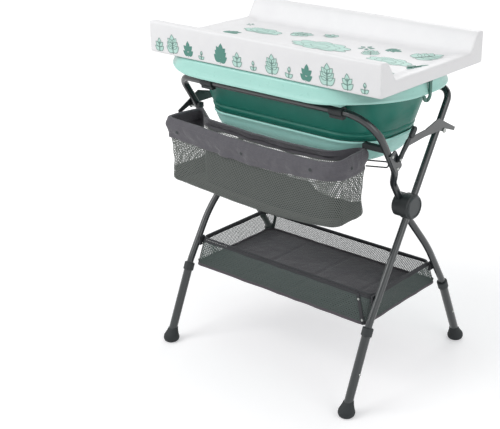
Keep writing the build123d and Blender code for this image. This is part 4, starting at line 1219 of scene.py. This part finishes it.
floor_edge = [bag_surface(k / 160, 1.0) for k in range(160)]
bag_lining, lining_steps = lining()
fit(bag_lining, "front_frame", "band_fabric")
lining_run = bag_round * (lining_steps[-1] - lining_steps[0])
lining_run * (0.7 * back_lining + 0.3 * end_lining)
bag_floor = cloth_floor("bag_floor", floor_edge, 0.0, 2.2, floor_cloth)
fit(bag_floor, "front_frame", "band_fabric")

band_thickness, fold_radius, band_gap, wire_rise = 0.0011, 0.0058, 0.0012, 0.0008
hem_bulge, hem_share, band_proud, crease_width = 0.0007, 0.86, 0.003, 0.0055
# Creases in the band: share of the way round, level, lean, reach, depth
band_creases = [
    (0.078, 0.30, 0.010, 0.40, 0.0045), (0.071, 0.55, -0.012, 0.35, -0.0022),
    (0.063, 0.35, 0.008, 0.35, 0.0026), (0.012, 0.80, 0.020, 0.30, 0.0030),
    (0.001, 0.75, 0.012, 0.30, -0.0015), (0.990, 0.12, 0.012, 0.20, 0.0024),
    (0.004, 0.12, -0.012, 0.20, 0.0022), (0.798, 0.35, 0.016, 0.40, 0.0019),
    (0.822, 0.45, -0.014, 0.40, 0.0016), (0.705, 0.50, 0.030, 0.45, 0.0013),
    (0.885, 0.55, -0.030, 0.45, 0.0013), (0.668, 0.35, 0.010, 0.35, 0.0018),
]


def crumple(share, down):
    """How far the band's creases push it in here; each fades out at its ends."""
    push = 0
    for place, level, lean, reach, depth in band_creases:
        across = (share - place + 0.5) % 1 - 0.5 - lean * (down - level)
        push += depth * exp(-(across / crease_width) ** 2 - ((down - level) / reach) ** 2)
    return push


def band_point(share, down, inset):
    """A point on the band's outer face; down is 0 at the wire and 1 at the hem."""
    below = max(down, 0)
    ripple = slack(share, 1.3 + down * 1.6, 0.0065) + slack(2 * share, 4.3 + down * 2.5, 0.0026)
    spread = band_proud * held((basket_back - basket_place(share, 0, 0).y) / 0.02 - 1)
    dip = corner_dip * exp(-(((share + 0.5) % 1 - 0.49) / 0.055) ** 2)
    height = basket_top + wire_rise - dip - down * (band_drop(share) + wire_rise - dip)
    tuck = 0.0030 * below ** 2 - 0.0042 * sin(pi * min(below * 1.3, 1))
    pushed = inset + tuck + ripple * below ** 0.7 + crumple(share, down) - spread
    return basket_place(share, pushed, height + slack(share, 8.8, 0.0016))


def band_section():
    """Down share and inset round the band: up outside, over the wire and down inside."""
    section = [(1 - k / 15, band_gap - (hem_bulge if 1 - k / 15 > hem_share else 0)) for k in range(16)]
    over = turn_points(band_gap + fold_radius, 0.0, fold_radius, 180, 0, 10)
    section += [(-height / band_height, inset) for inset, height in over[1:]]
    return section + [(0.5 * k / 10, band_gap + 2 * fold_radius - 0.003 * k / 10) for k in range(1, 11)]


around = [k / 420 for k in range(420)]
band = loft("band", [[band_point(s, *step) for s in around] for step in band_section()], band_cloth)
thick = band.modifiers.new("Cloth thickness", "SOLIDIFY")
thick.thickness, thick.offset = band_thickness, -1
fit(band, "front_frame", "band_fabric", "basket_band", "basket_hoop")
band_round = ring_length(basket_ring(0))

stitch = Pattern("stitches", {"Spacing": "Float", "Length": "Float", "Thickness": "Float"})
stitch_line = stitch.node("GeometryNodeMeshToCurve", None, {"Mesh": stitch.given.part("Geometry")})
stitch_spots = stitch.node("GeometryNodeCurveToPoints", {"mode": "LENGTH"}, {
    "Curve": stitch_line, "Length": stitch.given.part("Spacing"),
})
stitch_grain = stitch.node("GeometryNodeMeshCube", None, {
    "Size": stitch.node("ShaderNodeCombineXYZ", None, {
        0: stitch.given.part("Thickness"), 1: stitch.given.part("Thickness"), 2: stitch.given.part("Length"),
    }),
})
stitch_thread = stitch.node("GeometryNodeSubdivisionSurface", None, {"Mesh": stitch_grain, "Level": 1})
stitch.ends(stitch.node("GeometryNodeInstanceOnPoints", None, {
    "Points": stitch_spots, "Instance": stitch_thread, "Rotation": stitch_spots.part("Rotation"),
}))
sewing_thread = coat("sewing_thread", (96, 96, 101), (132, 131, 136), (0.001, 2), (0.6, 0.0, 0.001, 2),
                     (0.001, 2, 0.0001))
stitch_sizes = {"Spacing": 0.0042, "Length": 0.0030, "Thickness": 0.0007, "Material": sewing_thread}
stitch_inset = 0.0008
for name, down in (("hem_stitches", 0.9), ("top_stitches", 0.17)):
    seam = [band_point(s, down, stitch_inset) for s in around]
    seam_line = route(name + "_line", seam, [0.0] * len(seam), closed=True)
    fit(stitch.on(name, seam_line, stitch_sizes), "front_frame", "band_fabric")


def press_stud(name, foot, out, radius, height, material):
    """A press stud: a domed ring with a dimple, standing on a cloth."""
    side = out.cross(Vector((0, 0, 1))).normalized()
    turns = [2 * pi * k / 24 for k in range(24)]
    spots = [side * cos(a) + out.cross(side) * sin(a) for a in turns]
    rings = []
    for share, rise in ((1, -0.3), (1, 0.5), (0.92, 0.85), (0.78, 1), (0.55, 0.8), (0.38, 0.35), (0.2, 0.3)):
        rings.append([foot + out * height * rise + spot * radius * share for spot in spots])
    return loft(name, rings, material, capped=True)


band_stud_radius, stud_height = 0.0046, 0.0016
for number, (share, down) in enumerate(((0.655, 0.56), (0.813, 0.52), (0.973, 0.42), (0.055, 0.47)), 1):
    spot, before, after = (band_point((share + step) % 1, down, band_gap) for step in (0, -0.002, 0.002))
    run = after - before
    out = Vector((run.y, -run.x, 0)).normalized()
    snap = press_stud(f"band_snap_{number}", spot, out, band_stud_radius, stud_height, cap_nylon)
    fit(snap, "front_frame", "bright_steel", "band_snaps")
dress(black_wire, "basket_loop")
dress(moulded_nylon, "basket_brackets")

# Lower shelf: a stiffened cloth floor, net walls that lean with the legs between cloth tapes,
# a black cord sewn into the top edge, and a strap with two snaps round the legs at each corner.
black_tape = coat("black_tape", (34, 35, 38), (56, 57, 61), (0.0012, 3), (0.66, 0.15, 0.0012, 3),
                  (0.0012, 3, 0.00015))
shelf_yarn = yarn("shelf_yarn", (58, 70, 67), (80, 93, 89))
hem_cloth = woven("hem_cloth", (66, 61, 67), (88, 82, 89))
walls_low, walls_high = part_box("shelf_walls")
shelf_half_length = walls_high.x
shelf_top, shelf_bottom = walls_high.z, walls_low.z
shelf_low_half, shelf_high_half = walls_high.y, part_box("shelf_binding")[1].y
shelf_corner = 0.022


def shelf_ring(height, inset=0.0):
    """The shelf's outline at a height; it narrows upwards with the legs."""
    share = (height - shelf_bottom) / (shelf_top - shelf_bottom)
    half = shelf_low_half + (shelf_high_half - shelf_low_half) * share - inset
    long_half = shelf_half_length - inset
    corners = [(-long_half, -half), (long_half, -half), (long_half, half), (-long_half, half)]
    return evened(rounded_outline(corners, [shelf_corner - inset] * 4, 10, 24), ring_points)


shelf_rings = {}


def shelf_place(share, inset, height):
    """A point on the shelf's wall, this share of the way round, drawn in by an inset."""
    spot_rings, steps = [], 40
    level = (height - shelf_bottom) / (shelf_top - shelf_bottom) * steps
    for k in (int(level), int(level) + 1):
        if k not in shelf_rings:
            shelf_rings[k] = shelf_ring(shelf_bottom + (shelf_top - shelf_bottom) * k / steps)
        spot_rings.append(point_on(shelf_rings[k], share))
    spot = spot_rings[0].lerp(spot_rings[1], level - int(level))
    reach_x, reach_y = shelf_half_length - shelf_corner, shelf_high_half - shelf_corner
    inward = Vector((held(spot.x, -reach_x, reach_x), held(spot.y, -reach_y, reach_y))) - spot
    spot += inward.normalized() * inset
    return Vector((spot.x, spot.y, height))


def shelf_wall_place(share, height):
    """The net wall, which sags in a little between the corners."""
    up = (height - shelf_bottom) / (shelf_top - shelf_bottom)
    sway = abs(slack(share, 5.1, 0.004)) + 0.0012 * sin(pi * up) + slack(share, 9.4 + up, 0.0012)
    return shelf_place(share, 0.0008 + max(sway, 0), height)


tape_height = 0.007
net_start, net_end = shelf_bottom + tape_height * 0.6, shelf_top - tape_height * 0.5
wall_net_height = net_end - net_start
shelf_round = ring_length(shelf_ring(shelf_bottom))


def shelf_net_surface(share, down):
    return shelf_wall_place(share, net_end - down * wall_net_height)


shelf_cells = net_cells("shelf_cells", shelf_net_surface, shelf_round, wall_net_height, net_pitch)
shelf_net = net.on("shelf_net", shelf_cells, {"Opening": net_opening, "Material": shelf_yarn})


def on_shelf(made, slot, *stands_for):
    """Rides with the hub, on a mesh of its own."""
    fit(made, "hub", slot, *stands_for)
    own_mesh(made)


def tape(name, low, high, material):
    rings = []
    for k in range(7):
        height = held(low + (high - low) * k / 6, shelf_bottom, shelf_top)
        rings.append([shelf_wall_place(s, height) for s in around])
    made = loft(name, rings, material)
    solid = made.modifiers.new("Tape thickness", "SOLIDIFY")
    solid.thickness, solid.offset = 0.0016, 0
    return made


low_tape = tape("low_tape", shelf_bottom, shelf_bottom + tape_height, hem_cloth)
high_tape = tape("high_tape", shelf_top - tape_height, shelf_top, black_tape)
cord_radius = 0.0033
cord_points = [shelf_place(k / 240, cord_radius, shelf_top + cord_radius) for k in range(240)]
edge_cord = bent_rod.on("edge_cord", route("cord_line", cord_points, [0.0] * 240, closed=True), {
    "Radius": cord_radius, "Sides": 14, "Bend Steps": 1, "Material": black_tape,
})
shelf_floor_edge = [shelf_place(k / 220, 0.0022, shelf_bottom + 0.0012) for k in range(220)]
floor_seams = (-0.15, 0.02, 0.19)
shelf_floor = cloth_floor("shelf_cloth", shelf_floor_edge, -0.0022, 4.4, floor_cloth, floor_seams)
on_shelf(shelf_net, "mesh_fabric", "shelf_walls")
on_shelf(shelf_floor, "band_fabric", "shelf_floor")
on_shelf(low_tape, "black_binding")
on_shelf(high_tape, "black_binding")
on_shelf(edge_cord, "black_binding", "shelf_binding")
tie_work = bmesh.new()
tie_work.from_mesh(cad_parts["shelf_ties"].data)
bmesh.ops.remove_doubles(tie_work, verts=tie_work.verts, dist=1e-5)
tie_mesh = bpy.data.meshes.new("leg_ties")
tie_work.to_mesh(tie_mesh)
tie_work.free()
tie_mesh.materials.clear()
tie_mesh.materials.append(black_tape)
leg_ties = piece("leg_ties", tie_mesh)
on_shelf(leg_ties, "black_binding", "shelf_ties")
strap_half_width, strap_thickness, strap_inset, strap_stud_radius = 0.0055, 0.0018, 0.0008, 0.0036


def corner_strap(name, share):
    """A tape down the wall at a corner, with a press stud near its top and its bottom."""
    half = strap_half_width / shelf_round
    columns, rows = 8, 14
    points, faces = [], []
    for row in range(rows + 1):
        height = shelf_bottom + (shelf_top - shelf_bottom) * row / rows
        for side in (strap_thickness, 0):
            for column in range(columns + 1):
                spot = share + half * (2 * column / columns - 1)
                points.append(shelf_place(spot % 1, strap_inset - side, height))
    width = columns + 1
    for row in range(rows):
        for column in range(columns):
            low, high = row * 2 * width + column, (row + 1) * 2 * width + column
            faces.append((low, low + 1, high + 1, high))
            faces.append((low + width, high + width, high + width + 1, low + width + 1))
        for column in (0, columns):
            low, high = row * 2 * width + column, (row + 1) * 2 * width + column
            faces.append((low, high, high + width, low + width))
    for row in (0, rows):
        for column in range(columns):
            low = row * 2 * width + column
            faces.append((low, low + 1, low + width + 1, low + width))
    on_shelf(skin(name, points, faces, black_tape), "black_binding")
    for k, height in enumerate((shelf_bottom + 0.012, shelf_top - 0.014)):
        foot = shelf_place(share % 1, strap_inset / 2 - strap_thickness, height)
        out = (foot - shelf_place(share % 1, 0.0104, height)).normalized()
        stud = press_stud(f"{name}_snap_{k + 1}", foot, out, strap_stud_radius, stud_height, zinc_plate)
        on_shelf(stud, "bright_steel")


low_ring = shelf_ring(shelf_bottom)
for number, (way_x, way_y) in enumerate(((-1, -1), (1, -1), (1, 1), (-1, 1)), 1):
    corner = Vector((way_x * shelf_half_length, way_y * shelf_low_half))
    nearest = min(range(ring_points), key=lambda k: (low_ring[k] - corner).length)
    corner_strap(f"corner_strap_{number}", nearest / ring_points)

sizes = {"cad": [list(corner) for corner in cad_box], "visual": [list(corner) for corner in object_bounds()]}
